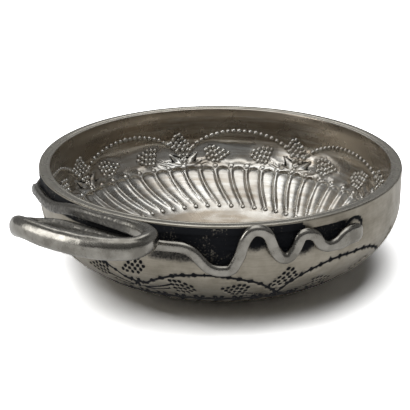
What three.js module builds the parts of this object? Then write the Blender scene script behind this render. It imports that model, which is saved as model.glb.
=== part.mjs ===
// Wine taster: a shallow bowl raised from one sheet, a lip wire on its edge, and a cast serpent
// that coils once into a finger ring and clings to the wall on both sides of it.
// Millimetres, +Z up. The origin is the centre of the flat base, and the ring points to -Y.
import * as THREE from 'three';

const { degToRad, radToDeg, lerp, clamp, smoothstep } = THREE.MathUtils;

// Bowl
const rimRadius = 42;
const bowlHeight = 26.8;
const wallHeight = 8;
const baseRadius = 19;
const sheetThickness = 1.2;

// Gadroons: tongues chased through the sheet, swirling from the wall down to the floor
const gadroonCount = 56;
const gadroonDepth = 0.9;
const gadroonTipInset = 4.9;
const gadroonTipLength = 2.4;
const gadroonFootInset = 8.2;
const gadroonFootLength = 4.5;
const gadroonSwirl = 7.8;
const ornamentTurn = 3.7;

// Lip wire: stands on the edge of the sheet, flush outside, and laps over its inner face
const lipWidth = 2.6;
const lipHeight = 2;
const lipCrown = 0.4;
const lipLap = 1.3;
const lipClearance = 0.15;

// Serpent's body where it clings to the wall, its tail and its head
const strandWidth = 2.6;
const strandThickness = 2;
const tailWidth = 1;
const tailThickness = 0.7;
const headWidth = 3.4;
const headThickness = 2.3;
const headLength = 6.5;
const solderGap = 0.3;

// Finger ring: one level turn of the body, thickest in front
const ringLength = 31.6;
const ringReach = 13.4;
const ringOffset = -0.7;
const ringWidth = 5;
const ringThickness = 4;
const ringDrop = 1.1;
const ringLift = 0.7;

// Turning points of the waves: degrees round the wall from the ring, and depth under the rim
const upperStrandDrop = 0.9;
const lowerStrandDrop = 4.9;
const tailTurns = [
  { turn: -85, drop: 6.2 },
  { turn: -75, drop: 3.6 },
  { turn: -64, drop: 8 },
  { turn: -33, drop: 3.4 },
  { turn: -4, drop: upperStrandDrop },
];
const headTurns = [
  { turn: 2, drop: lowerStrandDrop },
  { turn: 21, drop: 4.3 },
  { turn: 34.2, drop: 9.2 },
  { turn: 43.2, drop: 0.6 },
  { turn: 51.4, drop: 7.1 },
  { turn: 57, drop: 3.1 },
  { turn: 64.8, drop: 6.2 },
  { turn: 73.8, drop: 4.9 },
];

// Facets
const facetsPerGadroon = 4;
const plainFacets = gadroonCount * 2;
const floorRows = 2;
const fluteRows = 6;
const shoulderRows = 4;
const crownFacets = 2;
const sectionSides = 10;
const tailStep = 3;
const headStep = 2;
const ringStations = 20;
const ringsPerStation = 2;
const endBends = [30, 60];

// Shapes of the curves
const waveSteepness = 2.4;
const ringSquareness = 2.5;
const ringSwell = 0.7;
const strandSquareness = 2.6;
const rodSquareness = 2.1;
const ringAzimuth = degToRad(-90);

// Degrees round the ring from its front: where it leaves and meets the wall, and where it sinks
const ringStart = 155;
const ringEnd = -165;
const sinkStart = 30;
const sinkEnd = 118;

// Worked out from the driving dimensions
const wallFoot = bowlHeight - wallHeight;
const baseAngle = Math.asin(baseRadius / rimRadius);
const bodyDepth = wallFoot / Math.cos(baseAngle);
const tipRadius = rimRadius - gadroonTipInset;
const footRadius = baseRadius + gadroonFootInset;
const sheetTop = bowlHeight - lipHeight - lipClearance;

// A closed skin through rings of points, each given counter-clockwise when seen from the next
// ring. A ring of one point is an end, and a ring may have a multiple of its neighbour's points.
function closedSkin(rings) {
  const positions = rings.flat().flatMap((point) => point.toArray());
  const indices = [];
  let start = 0;
  for (let i = 0; i + 1 < rings.length; i++) {
    const below = rings[i].length;
    const above = rings[i + 1].length;
    const steps = Math.max(below, above);
    for (let step = 0; step < steps; step++) {
      const low = start + Math.floor((step * below) / steps);
      const lowNext = start + (Math.floor(((step + 1) * below) / steps) % below);
      const high = start + below + Math.floor((step * above) / steps);
      const highNext = start + below + (Math.floor(((step + 1) * above) / steps) % above);
      if (low !== lowNext) indices.push(low, lowNext, highNext);
      if (high !== highNext) indices.push(low, highNext, high);
    }
    start += below;
  }
  const geometry = new THREE.BufferGeometry();
  geometry.setAttribute('position', new THREE.Float32BufferAttribute(positions, 3));
  geometry.setIndex(indices);
  geometry.computeVertexNormals();
  return geometry;
}

function silver(color, roughness) {
  return new THREE.MeshStandardMaterial({ color, roughness, metalness: 1 });
}

// Outside radius of the bowl at a height: an upright wall over a quarter of an ellipse
function outsideRadius(height) {
  const depth = clamp((wallFoot - height) / bodyDepth, 0, 1);
  return rimRadius * Math.sqrt(1 - depth * depth);
}

// Depth of the grooves between the tongues at a radius: round tips under the wall, and a long
// fade on the floor
function grooveDepth(radius) {
  const foot = clamp((radius - footRadius) / gadroonFootLength, 0, 1);
  const tip = clamp((tipRadius - radius) / gadroonTipLength, 0, 1);
  return gadroonDepth * Math.sin((foot * Math.PI) / 2) * Math.sqrt(1 - (1 - tip) ** 2);
}

// One row of the bowl's section, on the rounded body at an angle from the bowl's axis
function bodyRow(angle) {
  const radius = rimRadius * Math.sin(angle);
  const normal = new THREE.Vector2(bodyDepth * Math.sin(angle), -rimRadius * Math.cos(angle)).normalize();
  const fluted = radius > footRadius - sheetThickness && radius < tipRadius + sheetThickness;
  return {
    radius,
    height: wallFoot - bodyDepth * Math.cos(angle),
    normal,
    groove: grooveDepth(radius),
    swirl: gadroonSwirl * clamp((tipRadius - radius) / (tipRadius - footRadius), 0, 1),
    facets: fluted ? gadroonCount * facetsPerGadroon : plainFacets,
  };
}

// Ring of one row on the outside, or one sheet thickness further in
function rowRing(row, thickness) {
  const firstAngle = ringAzimuth + degToRad(ornamentTurn - row.swirl);
  return Array.from({ length: row.facets }, (_, i) => {
    const acrossTongue = ((i * gadroonCount) / row.facets + 0.5) % 1 - 0.5;
    const sunk = row.groove * (1 - Math.sqrt(1 - (2 * acrossTongue) ** 2)) + thickness;
    const radius = row.radius - sunk * row.normal.x;
    const angle = firstAngle + (i * 2 * Math.PI) / row.facets;
    const height = row.height - sunk * row.normal.y;
    return new THREE.Vector3(radius * Math.cos(angle), radius * Math.sin(angle), height);
  });
}

function evenSteps(from, to, count) {
  return Array.from({ length: count }, (_, i) => lerp(from, to, i / count));
}

function bowl() {
  const footAngle = Math.asin(footRadius / rimRadius);
  const tipAngle = Math.asin(tipRadius / rimRadius);
  const bodyRows = [
    ...evenSteps(baseAngle, footAngle, floorRows).slice(1),
    ...evenSteps(footAngle, tipAngle, fluteRows),
    ...evenSteps(tipAngle, Math.PI / 2, shoulderRows),
  ].map(bodyRow);
  const baseRow = { ...bodyRow(baseAngle), height: 0, normal: new THREE.Vector2(0, -1) };
  const wallRow = bodyRow(Math.PI / 2);
  const rows = [baseRow, ...bodyRows, wallRow, { ...wallRow, height: sheetTop }];
  const outside = rows.map((row) => rowRing(row, 0));
  const inside = rows.map((row) => rowRing(row, sheetThickness)).reverse();
  const underside = [new THREE.Vector3(0, 0, 0)];
  const floor = [new THREE.Vector3(0, 0, sheetThickness)];
  return closedSkin([underside, ...outside, ...inside, floor]);
}

function lipWire() {
  const seat = bowlHeight - lipHeight;
  const innerRadius = rimRadius - lipWidth;
  const lapRadius = rimRadius - sheetThickness - lipClearance;
  const crownCentre = rimRadius - lipWidth / 2;
  const section = new THREE.Shape();
  section.moveTo(lapRadius, seat);
  section.lineTo(rimRadius, seat);
  section.lineTo(rimRadius, bowlHeight - lipCrown);
  section.absellipse(crownCentre, bowlHeight - lipCrown, lipWidth / 2, lipCrown, 0, Math.PI, false);
  section.lineTo(innerRadius, seat);
  section.lineTo(lapRadius, seat - lipLap);
  section.closePath();
  const points = section.getPoints(crownFacets);
  const geometry = new THREE.LatheGeometry(points, plainFacets);
  return geometry.rotateX(Math.PI / 2);
}

// Depth of a wave between its turning points, steeper than a sine
function waveDrop(turns, turn) {
  const next = Math.max(1, turns.findIndex((point) => point.turn >= turn));
  const from = turns[next - 1];
  const to = turns[next];
  const along = (turn - from.turn) / (to.turn - from.turn);
  const rising = along ** waveSteepness;
  const eased = rising / (rising + (1 - along) ** waveSteepness);
  return lerp(from.drop, to.drop, eased);
}

// A point of the serpent that clings to the wall, with the size of its section there
function wallStation(turn, drop, width, thickness) {
  const height = bowlHeight - drop;
  const radius = outsideRadius(height) + solderGap + thickness / 2;
  const angle = ringAzimuth + degToRad(turn);
  const place = new THREE.Vector3(radius * Math.cos(angle), radius * Math.sin(angle), height);
  return { place, width, thickness, squareness: strandSquareness };
}

function turnsBetween(turns, step) {
  const first = turns[0].turn;
  const last = turns.at(-1).turn;
  const count = Math.round((last - first) / step);
  return Array.from({ length: count + 1 }, (_, i) => lerp(first, last, i / count));
}

function tailRun() {
  const tip = tailTurns[0].turn;
  const length = tailTurns.at(-1).turn - tip;
  return turnsBetween(tailTurns, tailStep).map((turn) => {
    const grown = Math.sqrt((turn - tip) / length);
    const width = lerp(tailWidth, strandWidth, grown);
    const thickness = lerp(tailThickness, strandThickness, grown);
    return wallStation(turn, waveDrop(tailTurns, turn), width, thickness);
  });
}

function headRun() {
  const tip = headTurns.at(-1).turn;
  const headTurn = radToDeg(headLength / rimRadius);
  return turnsBetween(headTurns, headStep).map((turn) => {
    const grown = smoothstep(turn, tip - headTurn, tip - headTurn / 3);
    const width = lerp(strandWidth, headWidth, grown);
    const thickness = lerp(strandThickness, headThickness, grown);
    return wallStation(turn, waveDrop(headTurns, turn), width, thickness);
  });
}

// Bends a cosine or sine so that a circle made of it becomes a squared oval
function squared(value, squareness) {
  return Math.sign(value) * Math.abs(value) ** (2 / squareness);
}

// The ring: a squared oval that starts at the upper strand on its right, runs round the front and
// sinks on its left to the lower strand
function ringRun() {
  const backRadius = rimRadius + solderGap + strandThickness / 2;
  return evenSteps(ringStart, ringEnd, ringStations).map((degrees) => {
    const round = degToRad(degrees);
    const out = backRadius + (ringReach / 2) * (1 + squared(Math.cos(round), ringSquareness));
    const aside = ringOffset + (ringLength / 2) * squared(Math.sin(round), ringSquareness);
    const sunk = smoothstep(-degrees, sinkStart, sinkEnd);
    const lift = ringLift * Math.max(0, Math.sin(round));
    const drop = lerp(ringDrop, lowerStrandDrop, sunk) - lift;
    const swell = Math.abs(Math.cos(round / 2)) ** ringSwell;
    return {
      place: new THREE.Vector3(aside, -out, bowlHeight - drop),
      width: lerp(strandWidth, ringWidth, swell),
      thickness: lerp(strandThickness, ringThickness, swell),
      squareness: lerp(strandSquareness, rodSquareness, swell),
    };
  });
}

// Section of the serpent: a squared oval across its path, its thickness lying level
function sectionRing(place, along, { width, thickness, squareness }) {
  const level = new THREE.Vector3(along.y, -along.x, 0).normalize();
  const across = new THREE.Vector3().crossVectors(along, level);
  return Array.from({ length: sectionSides }, (_, i) => {
    const round = ((i + 0.5) * 2 * Math.PI) / sectionSides;
    return place
      .clone()
      .addScaledVector(level, (thickness / 2) * squared(Math.cos(round), squareness))
      .addScaledVector(across, (width / 2) * squared(Math.sin(round), squareness));
  });
}

// Round end of the serpent, from its last full section to the tip
function roundedEnd({ place, width, thickness, squareness }, along) {
  const rings = endBends.map((degrees) => {
    const bend = degToRad(degrees);
    const centre = place.clone().addScaledVector(along, (width / 2) * Math.sin(bend));
    const left = Math.cos(bend);
    return sectionRing(centre, along, { width: width * left, thickness: thickness * left, squareness });
  });
  return [...rings, [place.clone().addScaledVector(along, width / 2)]];
}

function serpentHandle() {
  const stations = [...tailRun(), ...ringRun(), ...headRun()];
  const path = new THREE.CatmullRomCurve3(stations.map((station) => station.place), false, 'centripetal');
  const spans = stations.length - 1;
  const samples = spans * ringsPerStation;
  const rings = [];
  for (let i = 0; i <= samples; i++) {
    const position = (i / samples) * spans;
    const behind = Math.min(Math.floor(position), spans - 1);
    const from = stations[behind];
    const to = stations[behind + 1];
    const share = position - behind;
    const section = {
      width: lerp(from.width, to.width, share),
      thickness: lerp(from.thickness, to.thickness, share),
      squareness: lerp(from.squareness, to.squareness, share),
    };
    rings.push(sectionRing(path.getPoint(i / samples), path.getTangent(i / samples), section));
  }
  const tail = stations[0];
  const headEnd = roundedEnd(stations.at(-1), path.getTangent(1));
  const tailTip = tail.place.clone().addScaledVector(path.getTangent(0), -tail.width);
  return closedSkin([[tailTip], ...rings, ...headEnd]);
}

function namedMesh(name, geometry, material) {
  const mesh = new THREE.Mesh(geometry, material);
  mesh.name = name;
  return mesh;
}

const wineTaster = new THREE.Group();
wineTaster.add(namedMesh('bowl', bowl(), silver('#a9a397', 0.34)));
wineTaster.add(namedMesh('rim_wire', lipWire(), silver('#b3aea4', 0.3)));
wineTaster.add(namedMesh('serpent_handle', serpentHandle(), silver('#a29c8f', 0.38)));

export default wineTaster;
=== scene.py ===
"""Dresses a silver wine taster: a chased bowl, its lip wire and a cast serpent handle, on a pale floor.

Sizes are in millimetres, and a finished mesh is scaled to metres. A turn is an angle in degrees
round the bowl's axis from the finger ring, a drop is a depth under the rim, and an arc is a length
along the outside of the sheet's section from the bowl's axis. A pair of edges says where a step
starts and ends, and a window where something starts, is full, is full last and ends.
"""

import logging
import math
from collections.abc import Sequence
from dataclasses import dataclass, field
from enum import Enum

import bmesh
import bpy
import numpy as np
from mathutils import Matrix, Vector, noise


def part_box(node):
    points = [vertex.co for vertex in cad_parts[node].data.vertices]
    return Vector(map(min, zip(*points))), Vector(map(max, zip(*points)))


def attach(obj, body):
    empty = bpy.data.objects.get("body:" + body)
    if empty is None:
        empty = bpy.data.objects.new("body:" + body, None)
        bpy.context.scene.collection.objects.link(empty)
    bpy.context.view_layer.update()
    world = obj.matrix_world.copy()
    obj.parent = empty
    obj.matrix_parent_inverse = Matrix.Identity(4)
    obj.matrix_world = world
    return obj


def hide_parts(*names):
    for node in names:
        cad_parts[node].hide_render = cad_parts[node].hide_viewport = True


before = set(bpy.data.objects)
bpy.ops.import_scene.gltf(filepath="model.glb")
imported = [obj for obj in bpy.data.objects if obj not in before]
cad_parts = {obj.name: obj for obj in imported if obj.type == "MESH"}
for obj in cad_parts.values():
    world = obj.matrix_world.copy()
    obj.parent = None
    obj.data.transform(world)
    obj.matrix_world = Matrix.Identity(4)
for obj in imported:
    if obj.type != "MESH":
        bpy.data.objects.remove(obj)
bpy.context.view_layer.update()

MM = 0.001
# Points of a mesh that are nearer than these millimetres are one.
WELD = 0.001
RING_AZIMUTH = -90.0
# Mesh attribute of the black: sulphide in recesses, and painted shade under the serpent and by raised work.
PATINA_AND_SHADE = "patina_and_shade"
# Mesh attribute of the tarnish, which in a few places also paints light and shade.
FILM_AND_SHADING = "film_and_shading"
log = logging.getLogger("wine_taster")

Array = np.ndarray
Mesh = bmesh.types.BMesh
Material = bpy.types.Material
Thing = bpy.types.Object
Socket = bpy.types.NodeSocket
Tree = bpy.types.NodeTree
Pair = tuple[float, float]
Triple = tuple[float, float, float]
Window = tuple[float, float, float, float]


class Skin(Enum):
    """The two faces of the raised sheet."""

    OUTSIDE = 0
    INSIDE = 1


def fade(value: Array, start: Array | float, end: Array | float) -> Array:
    """Smooth step of values from 0 at start to 1 at end, which may lie below start."""
    share = np.clip((value - start) / (end - start), 0.0, 1.0)
    return share * share * (3.0 - 2.0 * share)


def window(value: Array, marks: Window) -> Array:
    """Smooth share of values in a window, 1 between its middle marks and 0 outside its outer ones."""
    start, full, last, end = marks
    return fade(value, start, full) * fade(value, end, last)


def between(low: Array | float, high: Array | float, share: Array) -> Array:
    """Values at shares of the way from low to high."""
    return low + (high - low) * share


def travelled(points: Array) -> Array:
    """Length along a line of points up to each of them."""
    lengths = np.linalg.norm(np.diff(points, axis=0), axis=1)
    return np.concatenate([[0.0], np.cumsum(lengths)])


def turn_of(points: Array) -> Array:
    """Turns of points, from -180 to 180."""
    degrees = np.degrees(np.arctan2(points[:, 1], points[:, 0]))
    return (degrees - RING_AZIMUTH + 180.0) % 360.0 - 180.0


def squared(value: Array, squareness: Array | float) -> Array:
    """Cosines or sines bent so that their circle becomes a squared oval, where 2 keeps the circle."""
    return np.sign(value) * np.abs(value) ** (2.0 / squareness)


def linear_colour(code: str) -> tuple[float, float, float, float]:
    """Turns a hex colour into the linear one that a shader takes.

    Args:
        code: sRGB colour as six hex digits after a hash.

    Returns:
        Linear red, green and blue, and an alpha of 1.
    """
    channels = [int(code[i : i + 2], 16) / 255.0 for i in (1, 3, 5)]
    linear = [c / 12.92 if c <= 0.04045 else ((c + 0.055) / 1.055) ** 2.4 for c in channels]
    return (*linear, 1.0)


def add_node(
    tree: Tree,
    kind: str,
    inputs: dict[str | int, object] | None = None,
    output: str | None = None,
    **settings: object,
) -> Socket | None:
    """Adds a node with its settings, values and links.

    Args:
        tree: Node tree that gets the node.
        kind: The shader node's type name without its first two words.
        inputs: For each input, a value to set or an output socket to link.
        output: Name of the output that is wanted, or None for the first.
        **settings: Properties of the node itself.

    Returns:
        The wanted output, or None for a node without outputs.
    """
    node = tree.nodes.new("ShaderNode" + kind)
    for name, value in settings.items():
        setattr(node, name, value)
    for key, value in (inputs or {}).items():
        if isinstance(value, Socket):
            tree.links.new(value, node.inputs[key])
        else:
            node.inputs[key].default_value = value
    return next((socket for socket in node.outputs if socket.enabled and output in (None, socket.name)), None)


def places_of(mesh_data: Mesh) -> Array:
    """Coordinates of a mesh's vertices, one row for each."""
    return np.array([vertex.co for vertex in mesh_data.verts])


def move(mesh_data: Mesh, places: Array) -> None:
    """Moves the vertices of a mesh to places."""
    for vertex, place in zip(mesh_data.verts, places):
        vertex.co = place


def spin_section(
    places: Sequence[Sequence[float]], columns: int, closed: bool = False, angle: float = math.tau
) -> Mesh:
    """Spins a section round the bowl's axis.

    Args:
        places: Points of the section.
        columns: Facets round the axis.
        closed: Whether the section's last point joins its first.
        angle: How far to spin it.

    Returns:
        The spun skin, its faces pointing outwards.
    """
    mesh_data = bmesh.new()
    verts = [mesh_data.verts.new(place) for place in places]
    followers = verts[1:] + (verts[:1] if closed else [])
    edges = [mesh_data.edges.new(pair) for pair in zip(verts, followers)]
    axis = {"cent": (0.0, 0.0, 0.0), "axis": (0.0, 0.0, 1.0), "use_merge": angle == math.tau}
    bmesh.ops.spin(mesh_data, geom=verts + edges, angle=angle, steps=columns, **axis)
    bmesh.ops.remove_doubles(mesh_data, verts=mesh_data.verts, dist=WELD)
    bmesh.ops.recalc_face_normals(mesh_data, faces=mesh_data.faces)
    return mesh_data


def mark(mesh_data: Mesh, name: str, shares: Array) -> None:
    """Writes a share for each vertex to the mesh.

    Args:
        mesh_data: The mesh.
        name: Name of the attribute.
        shares: For the black 1 in a recess and 2 in the deep pockets, sulphide in most places and
        painted shade in some, and for the tarnish 1 where the metal is dull, painted light and shade in a few
        places.
    """
    layer = mesh_data.verts.layers.float.new(name)
    for vertex, share in zip(mesh_data.verts, shares):
        vertex[layer] = share


def blank_material(name: str) -> Material:
    """Makes a material with an empty node tree.

    Args:
        name: Its name.

    Returns:
        The material.
    """
    material = bpy.data.materials.new(name)
    material.use_nodes = True
    material.node_tree.nodes.clear()
    return material


def to_object(mesh_data: Mesh, name: str, materials: Sequence[Material]) -> Thing:
    """Scales a mesh to metres and puts it in the scene.

    Args:
        mesh_data: The finished mesh in millimetres, which is freed.
        name: Name of the object.
        materials: Materials in the order of the faces' material indices.

    Returns:
        The new object.
    """
    bmesh.ops.scale(mesh_data, vec=(MM, MM, MM), verts=mesh_data.verts)
    mesh = bpy.data.meshes.new(name)
    mesh_data.to_mesh(mesh)
    mesh_data.free()
    for material in materials:
        mesh.materials.append(material)
    thing = bpy.data.objects.new(name, mesh)
    bpy.context.scene.collection.objects.link(thing)
    return thing


def finish_piece(
    mesh_data: Mesh, name: str, materials: Sequence[Material], crease: float = math.pi
) -> Thing:
    """Makes a mesh a smooth piece of the object that rides on the bowl.

    Args:
        mesh_data: The finished mesh in millimetres, which is freed.
        name: Name of the piece.
        materials: Materials in the order of the faces' material indices.
        crease: Angle from which an edge stays sharp.

    Returns:
        The new object.
    """
    for face in mesh_data.faces:
        face.smooth = True
    piece = to_object(mesh_data, name, materials)
    piece.data.set_sharp_from_angle(angle=crease)
    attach(piece, "root")
    piece.data.calc_loop_triangles()
    log.info("%s: %d triangles", name, len(piece.data.loop_triangles))
    return piece


@dataclass(frozen=True)
class SilverFinish:
    """Silver whose recesses keep a black sulphide and whose high places are rubbed bright.

    Clouds of thin tarnish, rubbing marks along the wall and small pits break up the gloss. Where the mesh
    marks it, the black is painted shade and the tarnish painted light and shade.

    Attributes:
        name: Name of the material.
        bright: Colour of the rubbed metal.
        dull: Colour under thin tarnish.
        oxide_and_shade: Colour of the black: sulphide in recesses, and painted shade where the mesh marks it.
        cloud: Size of the tarnish clouds.
        streaks: Share of the tarnish that follows the rubbing marks.
        scratch: Width of the rubbing marks.
        scratch_depth: Depth of the rubbing marks.
        pit: Size of the pits.
        pit_depth: Depth of the pits.
        drawn_out: Scales that draw out the marks along the wall.
        layers: Layers of finer detail in clouds, marks and pits.
        fineness: Share of each finer layer in them.
        cloud_range: Clouds between which the roughness grows.
        tarnish_range: Clouds and marks between which the tarnish grows.
        fray: How far the pits fray the edge of the black.
        black_range: Frayed black between which the black grows.
        speck_range: Pits and clouds between which metal shows in deep pockets.
        speck_shine: Share of black that these specks take off.
    """

    name: str
    bright: str
    dull: str
    oxide_and_shade: str
    roughness: Pair
    cloud: float
    streaks: float
    scratch: float
    scratch_depth: float
    pit: float
    pit_depth: float
    drawn_out: Triple = (0.08, 0.08, 1.0)
    layers: Triple = (5.0, 4.0, 3.0)
    fineness: float = 0.6
    cloud_range: Pair = (0.3, 0.7)
    tarnish_range: Pair = (0.4, 0.68)
    fray: float = 0.5
    black_range: Pair = (0.45, 0.85)
    speck_range: Pair = (0.31, 0.42)
    speck_shine: float = 0.8

    def material(self) -> Material:
        """Builds the node material.

        Returns:
            The material.
        """
        material = blank_material(self.name)
        tree = material.node_tree
        place = add_node(tree, "TexCoord", output="Object")
        along_wall = add_node(tree, "Mapping", {"Vector": place, "Scale": self.drawn_out})
        patterns = []
        # Real rubbing marks and pits are hundredths of a millimetre wide, and are drawn coarser to show.
        sizes = ((place, self.cloud), (along_wall, self.scratch), (place, self.pit))
        for (vector, size), layers in zip(sizes, self.layers):
            grain = {"Scale": 1.0 / (size * MM), "Detail": layers, "Roughness": self.fineness}
            patterns.append(add_node(tree, "TexNoise", {"Vector": vector, **grain}))
        clouds, marks, pits = patterns
        black = self._black(tree, clouds, pits)
        oxidised = {"Factor": black, "A": self._metal(tree, clouds, marks), "B": linear_colour(self.oxide_and_shade)}
        colour = add_node(tree, "Mix", oxidised, data_type="RGBA")
        low, high = self.cloud_range
        gloss = {"Value": clouds, "From Min": low, "From Max": high}
        gloss["To Min"], gloss["To Max"] = self.roughness
        rough = add_node(tree, "MapRange", gloss)
        rough = add_node(tree, "Math", {0: rough, 1: black}, operation="MAXIMUM")
        bare = add_node(tree, "Math", {0: 1.0, 1: black}, operation="SUBTRACT")
        normal = add_node(tree, "Bump", {"Height": marks, "Distance": self.scratch_depth * MM})
        pitted = {"Height": pits, "Distance": self.pit_depth * MM, "Normal": normal}
        normal = add_node(tree, "Bump", pitted)
        skin = {"Base Color": colour, "Metallic": bare, "Roughness": rough, "Normal": normal}
        shader = add_node(tree, "BsdfPrincipled", skin)
        add_node(tree, "OutputMaterial", {"Surface": shader})
        return material

    def _metal(self, tree: Tree, clouds: Socket, marks: Socket) -> Socket:
        """Lays the tarnish over the rubbed metal.

        Args:
            tree: The material's node tree.
            clouds: Clouds of tarnish.
            marks: Rubbing marks.

        Returns:
            Colour of the metal without its oxide.
        """
        drawn = add_node(tree, "Mix", {"Factor": self.streaks, "A": clouds, "B": marks})
        low, high = self.tarnish_range
        blotches = add_node(tree, "MapRange", {"Value": drawn, "From Min": low, "From Max": high})
        film_and_shading = add_node(tree, "Attribute", output="Fac", attribute_name=FILM_AND_SHADING)
        tarnish = add_node(tree, "Math", {0: blotches, 1: film_and_shading}, operation="ADD", use_clamp=True)
        colours = {"Factor": tarnish, "A": linear_colour(self.bright), "B": linear_colour(self.dull)}
        return add_node(tree, "Mix", colours, data_type="RGBA")

    def _black(self, tree: Tree, clouds: Socket, pits: Socket) -> Socket:
        """Frays the edge of the black and lets specks of metal shine in the deep pockets.

        Args:
            tree: The material's node tree.
            clouds: Clouds of tarnish, which keep the specks together.
            pits: Pits.

        Returns:
            Share of black.
        """
        patina_and_shade = add_node(tree, "Attribute", output="Fac", attribute_name=PATINA_AND_SHADE)
        frayed = add_node(tree, "Math", {0: pits, 1: self.fray, 2: patina_and_shade}, operation="MULTIPLY_ADD")
        low, high = self.black_range
        black = add_node(tree, "MapRange", {"Value": frayed, "From Min": low, "From Max": high})
        deep = add_node(tree, "MapRange", {"Value": patina_and_shade, "From Min": 1.0, "From Max": 2.0})
        grains = add_node(tree, "Math", {0: pits, 1: clouds}, operation="MULTIPLY")
        low, high = self.speck_range
        shining = {"Value": grains, "From Min": low, "From Max": high, "To Max": self.speck_shine}
        specks = add_node(tree, "MapRange", shining)
        bare = add_node(tree, "Math", {0: specks, 1: deep}, operation="MULTIPLY")
        return add_node(tree, "Math", {0: black, 1: bare}, operation="SUBTRACT", use_clamp=True)


# Hammered and stoned silver left to tarnish: a warm grey satin with black in every punch mark.
ANTIQUED_SILVER = SilverFinish(
    name="antiqued_silver", bright="#9a9488", dull="#7b7568", oxide_and_shade="#111318", roughness=(0.32, 0.46),
    cloud=6.0, streaks=0.3, scratch=0.35, scratch_depth=0.02, pit=0.45, pit_depth=0.03,
)

# Silver worn bright by wine and wiping: clear reflections that turn brown where they fold.
POLISHED_SILVER = SilverFinish(
    name="polished_silver", bright="#d3d2cd", dull="#a3998b", oxide_and_shade="#14120f", roughness=(0.16, 0.4),
    cloud=11.0, streaks=0.6, scratch=0.7, scratch_depth=0.01, pit=0.7, pit_depth=0.008,
)

# Sand-cast silver: soft gloss over a skin of small pits and lumps.
CAST_SILVER = SilverFinish(
    name="cast_silver", bright="#a09d96", dull="#75726b", oxide_and_shade="#101114", roughness=(0.18, 0.32),
    cloud=5.0, streaks=0.1, scratch=0.5, scratch_depth=0.01, pit=0.6, pit_depth=0.03,
)

# Drawn wire burnished by lips and fingers: an even grey gloss with fine lines along it.
BURNISHED_SILVER = SilverFinish(
    name="burnished_silver", bright="#b0aca2", dull="#959187", oxide_and_shade="#0b0b0c", roughness=(0.22, 0.32),
    cloud=6.0, streaks=0.4, scratch=0.25, scratch_depth=0.012, pit=0.5, pit_depth=0.008,
)


@dataclass
class SheetProfile:
    """Section of the raised sheet: a flat base, a quarter of an ellipse and an upright wall.

    Attributes:
        rim_radius: Outside radius of the wall.
        bowl_height: Height of the rim over the base.
        sheet_top: Height of the sheet's edge under the lip wire.
        wall_height: Height of the upright wall and lip.
        base_radius: Radius of the flat base.
        thickness: Thickness of the sheet.
        base_round: Width of the softened corner round the base.
        steps: Steps of the table of arcs along the ellipse.
    """

    rim_radius: float
    bowl_height: float
    sheet_top: float
    wall_height: float = 8.0
    base_radius: float = 19.0
    thickness: float = 1.2
    base_round: float = 2.0
    steps: int = 400
    wall_foot: float = field(init=False)
    body_depth: float = field(init=False)
    angles: Array = field(init=False)
    arcs: Array = field(init=False)

    def __post_init__(self) -> None:
        """Works out the ellipse and its table of arcs."""
        self.wall_foot = self.bowl_height - self.wall_height
        base_angle = math.asin(self.base_radius / self.rim_radius)
        self.body_depth = self.wall_foot / math.cos(base_angle)
        self.angles = np.linspace(base_angle, math.pi / 2.0, self.steps)
        radii = self.rim_radius * np.sin(self.angles)
        heights = self.wall_foot - self.body_depth * np.cos(self.angles)
        self.arcs = self.base_radius + travelled(np.stack([radii, heights], axis=-1))

    @property
    def wall_arc(self) -> float:
        """Arc at the foot of the wall."""
        return float(self.arcs[-1])

    @property
    def top_arc(self) -> float:
        """Arc at the sheet's edge under the lip wire."""
        return self.wall_arc + self.sheet_top - self.wall_foot

    def section(self, arc: Array) -> tuple[Array, Array, Array]:
        """Finds points of the section.

        Args:
            arc: Arcs.

        Returns:
            Radius, height and the angle of the outward normal over the level.
        """
        arc = np.asarray(arc, float)
        angle = np.interp(arc, self.arcs, self.angles)
        radius = np.where(arc < self.base_radius, arc, self.rim_radius * np.sin(angle))
        height = self.wall_foot - self.body_depth * np.cos(angle)
        height = np.where(arc < self.base_radius, 0.0, height) + np.maximum(arc - self.wall_arc, 0.0)
        slopes = -np.arctan2(self.rim_radius * np.cos(self.angles), self.body_depth * np.sin(self.angles))
        body = self.arcs > self.base_radius + self.base_round
        marks = np.concatenate([[self.base_radius - self.base_round], self.arcs[body]])
        slopes = np.concatenate([[-math.pi / 2.0], slopes[body]])
        return radius, height, np.interp(arc, marks, slopes)

    def arc_of_radius(self, radius: float) -> float:
        """Arc where the ellipse has this radius."""
        return float(np.interp(math.asin(radius / self.rim_radius), self.angles, self.arcs))

    def arc_of_drop(self, drop: Array) -> Array:
        """Finds the arc of the outside at depths under the rim.

        Args:
            drop: The depths.

        Returns:
            Their arcs.
        """
        height = self.bowl_height - np.asarray(drop, float)
        lean = np.clip((self.wall_foot - height) / self.body_depth, 0.0, 1.0)
        return np.interp(np.arccos(lean), self.angles, self.arcs) + np.maximum(height - self.wall_foot, 0.0)

    def arc_of_point(self, radius: Array, height: Array) -> Array:
        """Finds the arc of points that lie on the section or on its chords.

        Args:
            radius: Their radii.
            height: Their heights.

        Returns:
            Their arcs.
        """
        angle = np.arctan2(radius / self.rim_radius, (self.wall_foot - height) / self.body_depth)
        body = np.interp(angle, self.angles, self.arcs) + np.maximum(height - self.wall_foot, 0.0)
        return np.where(radius < self.base_radius, radius, body)

    def outside_radius(self, height: Array) -> Array:
        """Outside radius of the bowl at a height."""
        depth = np.clip((self.wall_foot - height) / self.body_depth, 0.0, 1.0)
        return self.rim_radius * np.sqrt(1.0 - depth * depth)

    def place(self, turn: Array, arc: Array, inward: Array) -> Array:
        """Points at a turn and an arc, moved square to the sheet.

        Args:
            turn: Turns.
            arc: Arcs.
            inward: How far from the outside face into the bowl.

        Returns:
            One row of coordinates for each point.
        """
        radius, height, slope = self.section(arc)
        azimuth = np.radians(turn + RING_AZIMUTH)
        reach = radius - inward * np.cos(slope)
        return np.stack(
            [reach * np.cos(azimuth), reach * np.sin(azimuth), height - inward * np.sin(slope)], axis=-1
        )


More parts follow.
